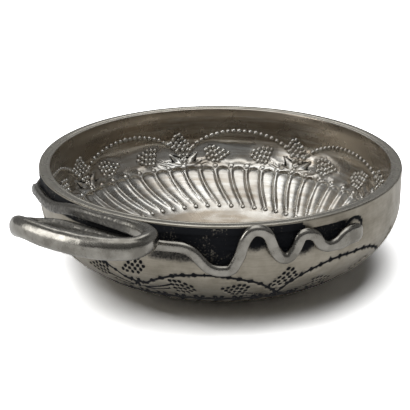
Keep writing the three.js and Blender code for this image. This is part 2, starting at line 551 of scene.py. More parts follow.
@dataclass
class Gadroons:
    """Tongues chased through the sheet, swirling from under the arches down to the floor.

    Attributes:
        profile: The sheet's section.
        first_turn: Turn of the middle of one tongue's tip.
        tip_radius: Outside radius at the round tips.
        foot_radius: Outside radius where the ridges run out.
        ridge: Edges of a flute's side, from its middle at 0 to the ridge at 1.
        depth: Height of the ridges between the flutes.
        border: Edges of the border round the tips, from the flute's edge at 1.
        hollow: Share of the depth in the flute's rounded floor.
        tip_depth: Share of the depth at the tips.
        tip_length: Length of the round tips.
        count: Tongues round the bowl.
        foot_length: Length over which the ridges run out.
        swirl: Degrees that a tongue turns from tip to foot.
        bend: How late along the tongue the swirl sets in, 1 for an even swirl.
        tip_wall: How much nearer to the edge a flute's side starts at the tip.
        tip_rise: Share of the round tip over which its side draws nearer.
        tip_fall: Length over which the ridges sink to their tip depth.
        black_foot: How far outside the foot's radius the black starts.
        black_tip: Edges of the black's end over the tips.
    """

    profile: SheetProfile
    first_turn: float
    tip_radius: float
    foot_radius: float
    ridge: Pair
    depth: float
    border: Pair
    hollow: float
    tip_depth: float
    tip_length: float
    count: int = 56
    foot_length: float = 4.5
    swirl: float = 9.4
    bend: float = 1.9
    tip_wall: float = 0.25
    tip_rise: float = 0.7
    tip_fall: float = 5.0
    black_foot: float = 1.0
    black_tip: Pair = (0.3, 0.9)

    @property
    def pitch(self) -> float:
        """Degrees from one tongue to the next."""
        return 360.0 / self.count

    @property
    def tip_arc(self) -> float:
        """Arc of the tips."""
        return self.profile.arc_of_radius(self.tip_radius)

    @property
    def foot_arc(self) -> float:
        """Arc where the ridges run out."""
        return self.profile.arc_of_radius(self.foot_radius)

    def swirl_at(self, arc: Array) -> Array:
        """Degrees that the tongues have turned at an arc."""
        inset = self.tip_radius - self.profile.section(arc)[0]
        return self.swirl * np.clip(inset / (self.tip_radius - self.foot_radius), 0.0, 1.0) ** self.bend

    def across(self, turn: Array, arc: Array) -> Array:
        """Place across the nearest tongue, from -0.5 to 0.5 between two ridges."""
        tongues = (turn - self.first_turn + self.swirl_at(arc)) / self.pitch
        return tongues - np.round(tongues)

    def over(self, arc: Array) -> Array:
        """How far arcs lie into the round tip: 0 at its start and 1 at the tip."""
        return np.maximum(1.0 - (self.tip_arc - arc) / self.tip_length, 0.0)

    def slot_edge(self, turn: Array, arc: Array) -> Array:
        """How near points lie to their flute's edge: 0 in its middle and 1 on its edge, round at the tip."""
        return np.hypot(self.across(turn, arc) * 2.0, self.over(arc))

    def relief(self, turn: Array, arc: Array) -> Array:
        """How far the chasing moves the sheet into the bowl.

        Args:
            turn: Turns.
            arc: Arcs.

        Returns:
            Distances in millimetres.
        """
        reached = self.slot_edge(turn, arc)
        edge = np.minimum(reached, 1.0)
        start, end = self.ridge
        start = start + self.tip_wall * fade(self.over(arc), 0.0, self.tip_rise)
        side = self.hollow * edge**2 + (1.0 - self.hollow) * fade(edge, start, end)
        foot = np.clip((self.profile.section(arc)[0] - self.foot_radius) / self.foot_length, 0.0, 1.0)
        low = 1.0 - (1.0 - self.tip_depth) * fade(arc - self.tip_arc, -self.tip_fall, 0.0)
        return self.depth * side * np.sin(foot * math.pi / 2.0) * low * (1.0 - fade(reached, *self.border))

    def groove(self, turn: Array, arc: Array, band: Window) -> Array:
        """Share of black along the sides of each flute.

        Args:
            turn: Turns.
            arc: Arcs.
            band: Window of the black across a flute, from its middle at 0 to its edge at 1.

        Returns:
            Shares of black.
        """
        from_foot = self.profile.section(arc)[0] - self.foot_radius
        span = fade(from_foot, self.black_foot, self.foot_length)
        below_tips = 1.0 - fade(arc - self.tip_arc, *self.black_tip)
        return window(self.slot_edge(turn, arc), band) * span * below_tips

    def ridge_turns(self, arc: float) -> Array:
        """Turns where the ridges cross an arc."""
        return self.first_turn + (np.arange(self.count) + 0.5) * self.pitch - self.swirl_at(arc)


@dataclass
class Stroke:
    """A bent chased line or a bent leaf, in millimetres from the junction of two arches.

    Attributes:
        points: Its start, middle and end, right of the junction and above it.
        width: Its half width.
        steps: Points along it.
        belly: How near to its start a leaf is widest, 1 for its middle.
        blunt: Half width of a leaf's ends.
    """

    points: tuple[Pair, ...]
    width: float
    steps: int = 9
    belly: float = 0.75
    blunt: float = 0.02

    def smooth(self) -> Array:
        """Bends a line through start, middle and end.

        Returns:
            Points along it.
        """
        start, middle, end = (np.array(p) for p in self.points)
        control = 2.0 * middle - 0.5 * (start + end)
        along = np.linspace(0.0, 1.0, self.steps)[:, None]
        return (1 - along) ** 2 * start + 2 * along * (1 - along) * control + along**2 * end

    def nearest(self, x: Array, y: Array) -> tuple[Array, Array]:
        """Nearest places of the line.

        Args:
            x: Places right of the junction.
            y: Places above the junction.

        Returns:
            Distances in millimetres, and shares of the line's length there.
        """
        distance = np.full(x.shape, np.inf)
        along = np.zeros(x.shape)
        line = self.smooth()
        for i, (start, end) in enumerate(zip(line[:-1], line[1:])):
            run = end - start
            share = ((x - start[0]) * run[0] + (y - start[1]) * run[1]) / (run @ run)
            share = np.clip(share, 0.0, 1.0)
            away = np.hypot(x - start[0] - share * run[0], y - start[1] - share * run[1])
            along = np.where(away < distance, (i + share) / (self.steps - 1), along)
            distance = np.minimum(distance, away)
        return distance, along

    def line_edge(self, x: Array, y: Array) -> Array:
        """0 on the middle of the line and 1 on its edge."""
        return self.nearest(x, y)[0] / self.width

    def leaf_edge(self, x: Array, y: Array) -> Array:
        """0 on the vein and 1 on the edge of the leaf, which is pointed at its ends."""
        distance, along = self.nearest(x, y)
        return distance / (self.width * np.sin(math.pi * along**self.belly) + self.blunt)


@dataclass
class Bunch:
    """A bunch of grapes, in millimetres from the junction of two arches.

    Attributes:
        middle: Its middle, right of the junction and above it.
        lean: Degrees from level to its axis, which points away from the stem.
        slant: Degrees from level to its rows.
        rows: Grapes in each row, from the stem to the tip.
        pitch: From row to row, and from grape to grape.
        swell: How much larger than usual its grapes are.
    """

    middle: Pair
    lean: float
    slant: float
    rows: tuple[int, ...]
    pitch: Pair
    swell: float = 1.08

    def grapes(self) -> list[tuple[float, float, float, float]]:
        """Places of the grapes.

        Returns:
            For each grape how far right and above it lies, its lean and its swell.
        """
        axis, row_axis = math.radians(self.lean), math.radians(self.slant)
        places = []
        for i, count in enumerate(self.rows):
            along = (i - (len(self.rows) - 1) / 2.0) * self.pitch[0]
            for j in range(count):
                aside = (j - (count - 1) / 2.0) * self.pitch[1]
                x = self.middle[0] + along * math.cos(axis) + aside * math.cos(row_axis)
                y = self.middle[1] + along * math.sin(axis) + aside * math.sin(row_axis)
                places.append((x, y, self.lean, self.swell))
        return places


@dataclass
class ArchOrnament:
    """Eight beaded arches with grape bunches and a palmette where two arches meet.

    Attributes:
        profile: The sheet's section.
        first_turn: Turn of one junction.
        junction_drop: Depth of the junctions under the rim.
        rise: Height of an arch.
        centre_lift: Height of the middle bunch.
        right_lift: Height of the right bunch.
        grape: Half length and half width of a grape.
        grape_pitch: From row to row of grapes, and from grape to grape.
        bead: Radius of a bead.
        beads: Beads of one arch.
        lifts: How far the hand set each junction too high.
        sags: How far the hand set the arch right of it too low.
        arch_power: Fullness of an arch.
        drifts: Waves of the hand's drift: size, count round the bowl and start.
        settle: Share of a repeat over which an arch leaves its junction's level.
        arch_steps: Points of the line of an arch.
        bead_steps: Points of the line on which beads are spaced.
        leaf_round: Power of a leaf's section, less for a fuller one.
        leaf_ground: Window of the black, as shares of a leaf's half width.
        leaf_clear: Edges of the height that is free of black.
    """

    profile: SheetProfile
    first_turn: float
    junction_drop: float
    rise: float
    centre_lift: float
    right_lift: float
    grape: Pair
    grape_pitch: Pair
    bead: float
    beads: int
    lifts: tuple[float, ...] = (0.0,) * 8
    sags: tuple[float, ...] = (0.0,) * 8
    arch_power: Pair = (2.2, 0.6)
    drifts: tuple[Triple, ...] = ((0.1, 11.0, 0.0), (0.06, 29.0, 1.0))
    settle: float = 0.08
    arch_steps: int = 161
    bead_steps: int = 400
    leaf_round: float = 0.8
    leaf_ground: Window = (0.8, 1.1, 1.3, 2.2)
    leaf_clear: Pair = (0.1, 0.4)
    bunches: list[Bunch] = field(init=False)
    stems: list[Stroke] = field(init=False)
    leaves: list[Stroke] = field(init=False)

    def __post_init__(self) -> None:
        """Draws the bunches, stems and leaves of one repeat."""
        apart = self.grape_pitch
        self.bunches = [
            Bunch((10.6, self.right_lift), 4.0, slant=100.0, rows=(4, 4, 4, 3, 2), pitch=apart),
            Bunch((-9.5, 3.9), 176.0, slant=80.0, rows=(3, 4, 4, 3, 2, 1), pitch=apart),
            Bunch((0.9, self.centre_lift), -25.0, slant=52.0, rows=(5, 5, 4, 3), pitch=apart, swell=1.0),
        ]
        self.stems = [
            Stroke(((0.8, 0.2), (4.2, 1.3), (8.0, 3.3)), 0.27),
            Stroke(((1.6, 0.0), (4.6, 0.4), (7.4, 1.6)), 0.22),
            Stroke(((-0.8, 0.2), (-3.6, 1.4), (-6.8, 2.6)), 0.27),
            Stroke(((-1.6, 0.0), (-4.0, 0.0), (-6.4, 0.9)), 0.22),
            Stroke(((0.1, 0.0), (0.2, 0.8), (0.2, 1.8)), 0.3),
            Stroke(((0.2, 1.7), (-0.2, 2.3), (-0.8, 3.0)), 0.26),
            Stroke(((0.2, 1.7), (0.7, 2.4), (1.1, 3.4)), 0.28),
        ]
        self.leaves = []
        for side in (1.0, -1.0):
            for middle, end, width in (((2.7, 0.9), (5.2, 2.3), 0.8), ((1.8, 2.2), (4.1, 4.4), 0.9)):
                points = ((0.2 * side, 0.2), (middle[0] * side, middle[1]), (end[0] * side, end[1]))
                self.leaves.append(Stroke(points, width))

    @property
    def count(self) -> int:
        """Arches round the bowl."""
        return len(self.lifts)

    @property
    def repeat(self) -> float:
        """Degrees from one junction to the next."""
        return 360.0 / self.count

    @property
    def junction_arc(self) -> float:
        """Arc of the junctions."""
        return float(self.profile.arc_of_drop(self.junction_drop))

    def arch_arc(self, from_junction: Array) -> Array:
        """Finds the line of an arch.

        Args:
            from_junction: Degrees from its junction.

        Returns:
            Its arcs there.
        """
        near = np.abs(1.0 - np.abs(from_junction) / (self.repeat / 2.0))
        inner, outer = self.arch_power
        drop = self.junction_drop - self.rise * (1.0 - np.minimum(near, 1.0) ** inner) ** outer
        return self.profile.arc_of_drop(drop)

    def fold(self, turn: Array) -> Array:
        """Degrees from the nearest junction."""
        repeats = (turn - self.first_turn) / self.repeat
        return (repeats - np.round(repeats)) * self.repeat

    def lift(self, turn: Array) -> Array:
        """How far the ornament stands too high.

        Args:
            turn: Turns.

        Returns:
            Distances in millimetres.
        """
        repeats = (turn - self.first_turn) / self.repeat
        before = np.floor(repeats).astype(int)
        share = fade(repeats - before, 0.0, 1.0)
        lifts = np.array(self.lifts)
        return lifts[before % self.count] * (1.0 - share) + lifts[(before + 1) % self.count] * share

    def plane(self, turn: Array, arc: Array) -> tuple[Array, Array]:
        """Unrolls points about their nearest junction.

        Args:
            turn: Turns.
            arc: Arcs.

        Returns:
            Millimetres to the right of the junction and above it.
        """
        radius = self.profile.section(arc)[0]
        waves = [size * np.sin(np.radians(turn) * count + start) for size, count, start in self.drifts]
        drift = np.sum(waves, axis=0)
        above = arc - self.junction_arc - self.lift(turn)
        return np.radians(self.fold(turn)) * radius + drift, above + drift

    def arch_plane(self, turn: Array, arc: Array) -> tuple[Array, Array]:
        """Unrolls points as plane does, with sagging arches that meet the lifted junctions.

        Args:
            turn: Turns.
            arc: Arcs.

        Returns:
            Millimetres to the right of the junction and above it.
        """
        x, y = self.plane(turn, arc)
        repeats = (turn - self.first_turn) / self.repeat
        arch = np.floor(repeats).astype(int)
        sags = np.array(self.sags)[arch % self.count]
        from_junction = np.abs(repeats - np.round(repeats))
        return x, y + (self.lift(turn) + sags) * fade(from_junction, 0.0, self.settle)

    def to_sheet(self, x: Array, y: Array) -> tuple[Array, Array]:
        """Degrees from the junction, and arcs, of unrolled points."""
        arc = self.junction_arc + y
        return np.degrees(x / self.profile.section(arc)[0]), arc

    def arch_beads(self) -> tuple[Array, Array]:
        """Evenly spaced beads of the arches beside a junction.

        Returns:
            Degrees from the junction, and arcs.
        """
        degrees = np.linspace(0.0, self.repeat, self.bead_steps)
        arcs = self.arch_arc(np.where(degrees > self.repeat / 2.0, degrees - self.repeat, degrees))
        radius = self.profile.section(arcs)[0]
        lengths = np.hypot(np.diff(np.radians(degrees)) * radius[1:], np.diff(arcs))
        reached = np.concatenate([[0.0], np.cumsum(lengths)])
        marks = (np.arange(self.beads) + 0.5) / self.beads * reached[-1]
        placed = np.interp(marks, reached, degrees)
        folded = np.where(placed > self.repeat / 2.0, placed - self.repeat, placed)
        return folded, np.interp(placed, degrees, arcs)

    def grapes(self) -> Array:
        """Grapes of the three bunches at a junction: right, above, lean in degrees and swell."""
        return np.array([grape for bunch in self.bunches for grape in bunch.grapes()])

    def grape_edge(self, turn: Array, arc: Array) -> Array:
        """How near points lie to a grape.

        Args:
            turn: Turns.
            arc: Arcs.

        Returns:
            0 in the middle of the nearest grape and 1 on its edge.
        """
        x, y = self.plane(turn, arc)
        nearest = np.full(x.shape, np.inf)
        half_length, half_width = self.grape
        for right, above, lean, swell in self.grapes():
            angle = math.radians(lean)
            along = (x - right) * math.cos(angle) + (y - above) * math.sin(angle)
            aside = (y - above) * math.cos(angle) - (x - right) * math.sin(angle)
            nearest = np.minimum(nearest, np.hypot(along / half_length, aside / half_width) / swell)
        return nearest

    def distance(self, turn: Array, arc: Array, degrees: Array, arcs: Array) -> Array:
        """Distance of points from the nearest of some places on an arch.

        Args:
            turn: Turns.
            arc: Arcs.
            degrees: Degrees of the places from their junction.
            arcs: Arcs of the places.

        Returns:
            Distances in millimetres.
        """
        x, y = self.arch_plane(turn, arc)
        rights = np.radians(degrees) * self.profile.section(arcs)[0]
        nearest = np.full(x.shape, np.inf)
        for right, above in zip(rights, arcs - self.junction_arc):
            nearest = np.minimum(nearest, np.hypot(x - right, y - above))
        return nearest

    def bead_edge(self, turn: Array, arc: Array) -> Array:
        """How near points lie to a bead of an arch: 0 in its middle and 1 on its edge."""
        return self.distance(turn, arc, *self.arch_beads()) / self.bead

    def arch_distance(self, turn: Array, arc: Array) -> Array:
        """Distance of points from the line of the arches, in millimetres."""
        degrees = np.linspace(-self.repeat / 2.0, self.repeat / 2.0, self.arch_steps)
        return self.distance(turn, arc, degrees, self.arch_arc(degrees))

    def stem_edge(self, turn: Array, arc: Array) -> Array:
        """How near points lie to a stem: 0 on its middle and 1 on its edge."""
        x, y = self.plane(turn, arc)
        return np.min([stem.line_edge(x, y) for stem in self.stems], axis=0)

    def leaf_relief(self, turn: Array, arc: Array) -> tuple[Array, Array]:
        """Relief of the palmette.

        Args:
            turn: Turns.
            arc: Arcs.

        Returns:
            Share of the full height, and share of black round the leaves.
        """
        x, y = self.plane(turn, arc)
        height = np.zeros(x.shape)
        black = np.zeros(x.shape)
        for leaf in self.leaves:
            share = leaf.leaf_edge(x, y)
            height = np.maximum(height, np.clip(1.0 - share**2, 0.0, 1.0) ** self.leaf_round)
            black = np.maximum(black, window(share, self.leaf_ground))
        return height, black * (1.0 - fade(height, *self.leaf_clear))


@dataclass
class SerpentHandle:
    """Cast serpent: a waving tail, one turn that is the finger ring, and a waving neck with its head.

    Attributes:
        profile: The sheet's section, whose wall it clings to.
        strand: Width and thickness where it clings to the wall.
        tail: Width and thickness of the tail's end.
        head: Width and thickness of the head.
        head_length: Length over which the neck grows into the head.
        head_parts: Parts of this length, of which the last has the head's size.
        seat_gap: Gap to the wall, which solder fills.
        ring_span: Degrees round the ring from the upper strand to the lower one.
        ring_stations: Stations of the ring.
        ring_length: Length of the ring along the wall.
        ring_reach: How far the ring reaches out from the wall.
        ring_offset: How far the ring's middle lies right of turn 0.
        ring_rod: Width and thickness of the ring's front.
        ring_drop: Depth of the ring under the rim.
        ring_lift: Rise of the ring on its right.
        ring_sink: Degrees from its front between which the ring sinks.
        ring_swell: How soon the body swells into the ring's rod.
        ring_squareness: Squareness of the ring's oval.
        rod_squareness: Squareness of the section in the ring's front.
        strand_squareness: The same on the wall.
        head_squareness: How much squarer the head is.
        wave_steepness: Steepness of the waves.
        tail_turns: Turn and drop of the tail's waves.
        head_turns: Turn and drop of the neck's waves.
        tail_spacing: Degrees between stations of the tail.
        head_spacing: Degrees between stations of the neck.
        curve_steps: Points of the smooth curve through the stations.
        sides: Facets round the section.
        step: Length of one facet along the body.
        lumps: Size and share of the casting's unevenness.
        coil_shade: Window of the turns where the body behind the finger ring's front is painted darker as
            shade.
        coil_shade_reach: Edges of that painted shade, from the wall.
        tail_side: Edges of the turns over which the body grows darker towards the tail.
        black_worn_and_shaded: Share of black on rubbed metal and on metal that is darker.
        film_worn_and_shaded: Share of tarnish on rubbed metal and on metal that is darker.
    """

    profile: SheetProfile
    strand: Pair = (2.6, 2.0)
    tail: Pair = (2.8, 0.66)
    head: Pair = (4.3, 2.2)
    head_length: float = 6.5
    head_parts: float = 3.0
    seat_gap: float = 0.3
    ring_span: Pair = (155.0, -165.0)
    ring_stations: int = 20
    ring_length: float = 31.6
    ring_reach: float = 13.35
    ring_offset: float = -0.7
    ring_rod: Pair = (5.0, 4.0)
    ring_drop: float = 1.1
    ring_lift: float = 0.7
    ring_sink: Pair = (30.0, 118.0)
    ring_swell: float = 0.7
    ring_squareness: float = 2.5
    rod_squareness: float = 2.1
    strand_squareness: float = 2.35
    head_squareness: float = 0.9
    wave_steepness: float = 2.4
    tail_turns: tuple[Pair, ...] = ((-85, 6.2), (-75, 3.6), (-64, 8.0), (-33, 3.4), (-4, 0.9))
    head_turns: tuple[Pair, ...] = (
        (2, 4.9), (21, 4.3), (34.2, 9.2), (43.2, 0.6), (51.4, 7.1), (57, 2.6), (64.8, 6.2), (73.8, 4.9),
    )
    tail_spacing: float = 3.0
    head_spacing: float = 2.0
    curve_steps: int = 4000
    sides: int = 28
    step: float = 0.4
    lumps: Pair = (2.2, 0.035)
    coil_shade: Window = (-36.0, -28.0, 6.0, 12.0)
    coil_shade_reach: Pair = (9.0, 6.0)
    tail_side: Pair = (-26.0, -34.0)
    black_worn_and_shaded: Pair = (0.12, 0.36)
    film_worn_and_shaded: Pair = (0.2, 1.0)

    def wave_drop(self, turns: Sequence[Pair], turn: Array) -> Array:
        """Depth of a wave between its turning points.

        Args:
            turns: The turning points.
            turn: Where to find the depth.

        Returns:
            Depths under the rim.
        """
        marks = np.array(turns, float)
        index = np.clip(np.searchsorted(marks[:, 0], turn) - 1, 0, len(marks) - 2)
        along = np.clip((turn - marks[index, 0]) / (marks[index + 1, 0] - marks[index, 0]), 0.0, 1.0)
        rising = along**self.wave_steepness
        eased = rising / (rising + (1.0 - along) ** self.wave_steepness)
        return between(marks[index, 1], marks[index + 1, 1], eased)

    def wall_run(self, turns: Sequence[Pair], spacing: float) -> Array:
        """Stations of a stretch that clings to the wall.

        Args:
            turns: Turning points of its waves.
            spacing: Degrees between stations.

        Returns:
            A row for each station: place, width, thickness and squareness.
        """
        count = round((turns[-1][0] - turns[0][0]) / spacing)
        turn = np.linspace(turns[0][0], turns[-1][0], count + 1)
        height = self.profile.bowl_height - self.wave_drop(turns, turn)
        width, thickness = self.wall_sizes(turn)
        radius = self.profile.outside_radius(height) + self.seat_gap + thickness / 2.0
        azimuth = np.radians(turn + RING_AZIMUTH)
        square = self.strand_squareness + self.head_squareness * fade(width, self.strand[0], self.head[0])
        place = [radius * np.cos(azimuth), radius * np.sin(azimuth), height]
        return np.stack([*place, width, thickness, square], axis=-1)

    def wall_sizes(self, turn: Array) -> Array:
        """Sizes of the body on the wall, from the tail's end over the strand to the head.

        Args:
            turn: Turns.

        Returns:
            Width and thickness there.
        """
        first, last, tip = self.tail_turns[0][0], self.tail_turns[-1][0], self.head_turns[-1][0]
        from_tail = np.sqrt(np.clip((turn - first) / (last - first), 0.0, 1.0))
        head_turn = math.degrees(self.head_length / self.profile.rim_radius)
        to_head = fade(turn, tip - head_turn, tip - head_turn / self.head_parts)
        runs = zip(self.tail, self.strand, self.head)
        return np.array([between(between(low, mid, from_tail), high, to_head) for low, mid, high in runs])

    def ring_run(self) -> Array:
        """Stations of the finger ring, from the upper strand round the front to the lower one.

        Returns:
            A row for each station: place, width, thickness and squareness.
        """
        turned = np.radians(np.linspace(*self.ring_span, self.ring_stations, endpoint=False))
        back = self.profile.rim_radius + self.seat_gap + self.strand[1] / 2.0
        out = back + self.ring_reach / 2.0 * (1.0 + squared(np.cos(turned), self.ring_squareness))
        aside = self.ring_offset + self.ring_length / 2.0 * squared(np.sin(turned), self.ring_squareness)
        sunk = fade(-np.degrees(turned), *self.ring_sink)
        lift = self.ring_lift * np.maximum(0.0, np.sin(turned))
        drop = between(self.ring_drop, self.head_turns[0][1], sunk) - lift
        swell = np.abs(np.cos(turned / 2.0)) ** self.ring_swell
        thin = (*self.strand, self.strand_squareness)
        thick = (*self.ring_rod, self.rod_squareness)
        sizes = [between(low, high, swell) for low, high in zip(thin, thick)]
        return np.stack([aside, -out, self.profile.bowl_height - drop, *sizes], axis=-1)

    def stations(self) -> Array:
        """All chosen stations from the tail's end to the head, with the tips beyond them.

        Returns:
            A row for each station: place, width, thickness and squareness.
        """
        tail = self.wall_run(self.tail_turns, self.tail_spacing)
        neck = self.wall_run(self.head_turns, self.head_spacing)
        rows = np.concatenate([tail, self.ring_run(), neck])
        tips = []
        for end, beside, width in ((rows[0], rows[1], self.tail[0]), (rows[-1], rows[-2], self.head[0])):
            run = end[:3] - beside[:3]
            place = end[:3] + run / np.linalg.norm(run) * width / 2.0
            tips.append(np.concatenate([place, end[3:]]))
        return np.vstack([tips[0], rows, tips[1]])

    def path(self) -> Array:
        """Evenly spaced stations on a smooth curve through the chosen ones.

        Returns:
            A row for each station: place, width, thickness and squareness.
        """
        rows = self.stations()
        spans = np.sqrt(np.linalg.norm(np.diff(rows[:, :3], axis=0), axis=1))
        knots = np.concatenate([[0.0], np.cumsum(spans)])
        slopes = np.gradient(rows, knots, axis=0)
        dense = np.linspace(0.0, knots[-1], self.curve_steps)
        index = np.clip(np.searchsorted(knots, dense) - 1, 0, len(knots) - 2)
        span = spans[index][:, None]
        share = ((dense - knots[index]) / spans[index])[:, None]
        curve = (
            (2 * share**3 - 3 * share**2 + 1) * rows[index]
            + (share**3 - 2 * share**2 + share) * span * slopes[index]
            + (3 * share**2 - 2 * share**3) * rows[index + 1]
            + (share**3 - share**2) * span * slopes[index + 1]
        )
        reached = travelled(curve[:, :3])
        marks = np.linspace(0.0, reached[-1], round(reached[-1] / self.step) + 1)
        return np.stack([np.interp(marks, reached, column) for column in curve.T], axis=-1)

    def wear_and_shade(self, points: Array) -> tuple[Array, Array]:
        """Black and tarnish of the serpent: painted shade behind the finger ring's front, and more towards
        the tail.

        Args:
            points: Points of its skin.

        Returns:
            Share of black and share of tarnish at each point.
        """
        turn = turn_of(points)
        reach = np.hypot(points[:, 0], points[:, 1]) - self.profile.rim_radius
        # Painted shade on the body behind the finger ring's front, and darker towards the tail.
        coil_shade = window(turn, self.coil_shade) * fade(reach, *self.coil_shade_reach)
        sheltered = np.maximum(coil_shade, fade(turn, *self.tail_side))
        return between(*self.black_worn_and_shaded, sheltered), between(*self.film_worn_and_shaded, sheltered)

    def build(self, material: Material) -> Thing:
        """Bends a grid round the serpent's path and closes its ends.

        Args:
            material: Its finish.

        Returns:
            The piece, which stands for the solid serpent.
        """
        rows = self.path()
        tangents = np.gradient(rows[:, :3], axis=0)
        tangents /= np.linalg.norm(tangents, axis=1)[:, None]
        level = np.stack([tangents[:, 1], -tangents[:, 0], np.zeros(len(rows))], axis=-1)
        level /= np.linalg.norm(level, axis=1)[:, None]
        across = np.cross(tangents, level)
        mesh_data = bmesh.new()
        bmesh.ops.create_grid(mesh_data, x_segments=len(rows) - 1, y_segments=self.sides, size=1.0)
        flat = places_of(mesh_data)
        station = np.rint((flat[:, 0] + 1.0) / 2.0 * (len(rows) - 1)).astype(int)
        angle = (flat[:, 1] + 1.0) * math.pi
        taper = self.end_taper(rows)[station]
        square = rows[station, 5]
        out = squared(np.cos(angle), square) * rows[station, 4] / 2.0 * taper
        up = squared(np.sin(angle), square) * rows[station, 3] / 2.0 * taper
        centres = rows[station, :3]
        spread = level[station] * out[:, None] + across[station] * up[:, None]
        size, share = self.lumps
        for vertex, centre, reach in zip(mesh_data.verts, centres, spread):
            uneven = noise.noise(Vector(centre + reach) / size)
            vertex.co = centre + reach * (1.0 - share + share * uneven)
        bmesh.ops.remove_doubles(mesh_data, verts=mesh_data.verts, dist=WELD)
        bmesh.ops.recalc_face_normals(mesh_data, faces=mesh_data.faces)
        black, tarnish = self.wear_and_shade(places_of(mesh_data))
        mark(mesh_data, PATINA_AND_SHADE, black)
        mark(mesh_data, FILM_AND_SHADING, tarnish)
        piece = finish_piece(mesh_data, "cast_serpent", [material])
        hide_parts("serpent_handle")
        return piece

    def end_taper(self, rows: Array) -> Array:
        """Share of the full section at each station, round at the head and the tail.

        Args:
            rows: The stations.

        Returns:
            Shares from 0 at the very ends to 1.
        """
        reached = travelled(rows[:, :3])
        from_head = np.clip((reached[-1] - reached) / (self.head[0] / 2.0), 0.0, 1.0)
        from_tail = np.clip(reached / (self.tail[0] / 2.0), 0.0, 1.0)
        return np.sqrt(1.0 - (1.0 - from_head) ** 2) * np.sqrt(1.0 - (1.0 - from_tail) ** 2)


@dataclass(frozen=True)
class BlackPatch:
    """A patch of black on the wall beside the serpent.

    Attributes:
        share: Its share of black, 2 for a deep pocket.
        turns: Window of its turns.
        drops: Window of its drops.
    """

    share: float
    turns: Window
    drops: Window

    def black(self, turn: Array, drop: Array) -> Array:
        """Its share of black at turns and drops."""
        return self.share * window(turn, self.turns) * window(drop, self.drops)


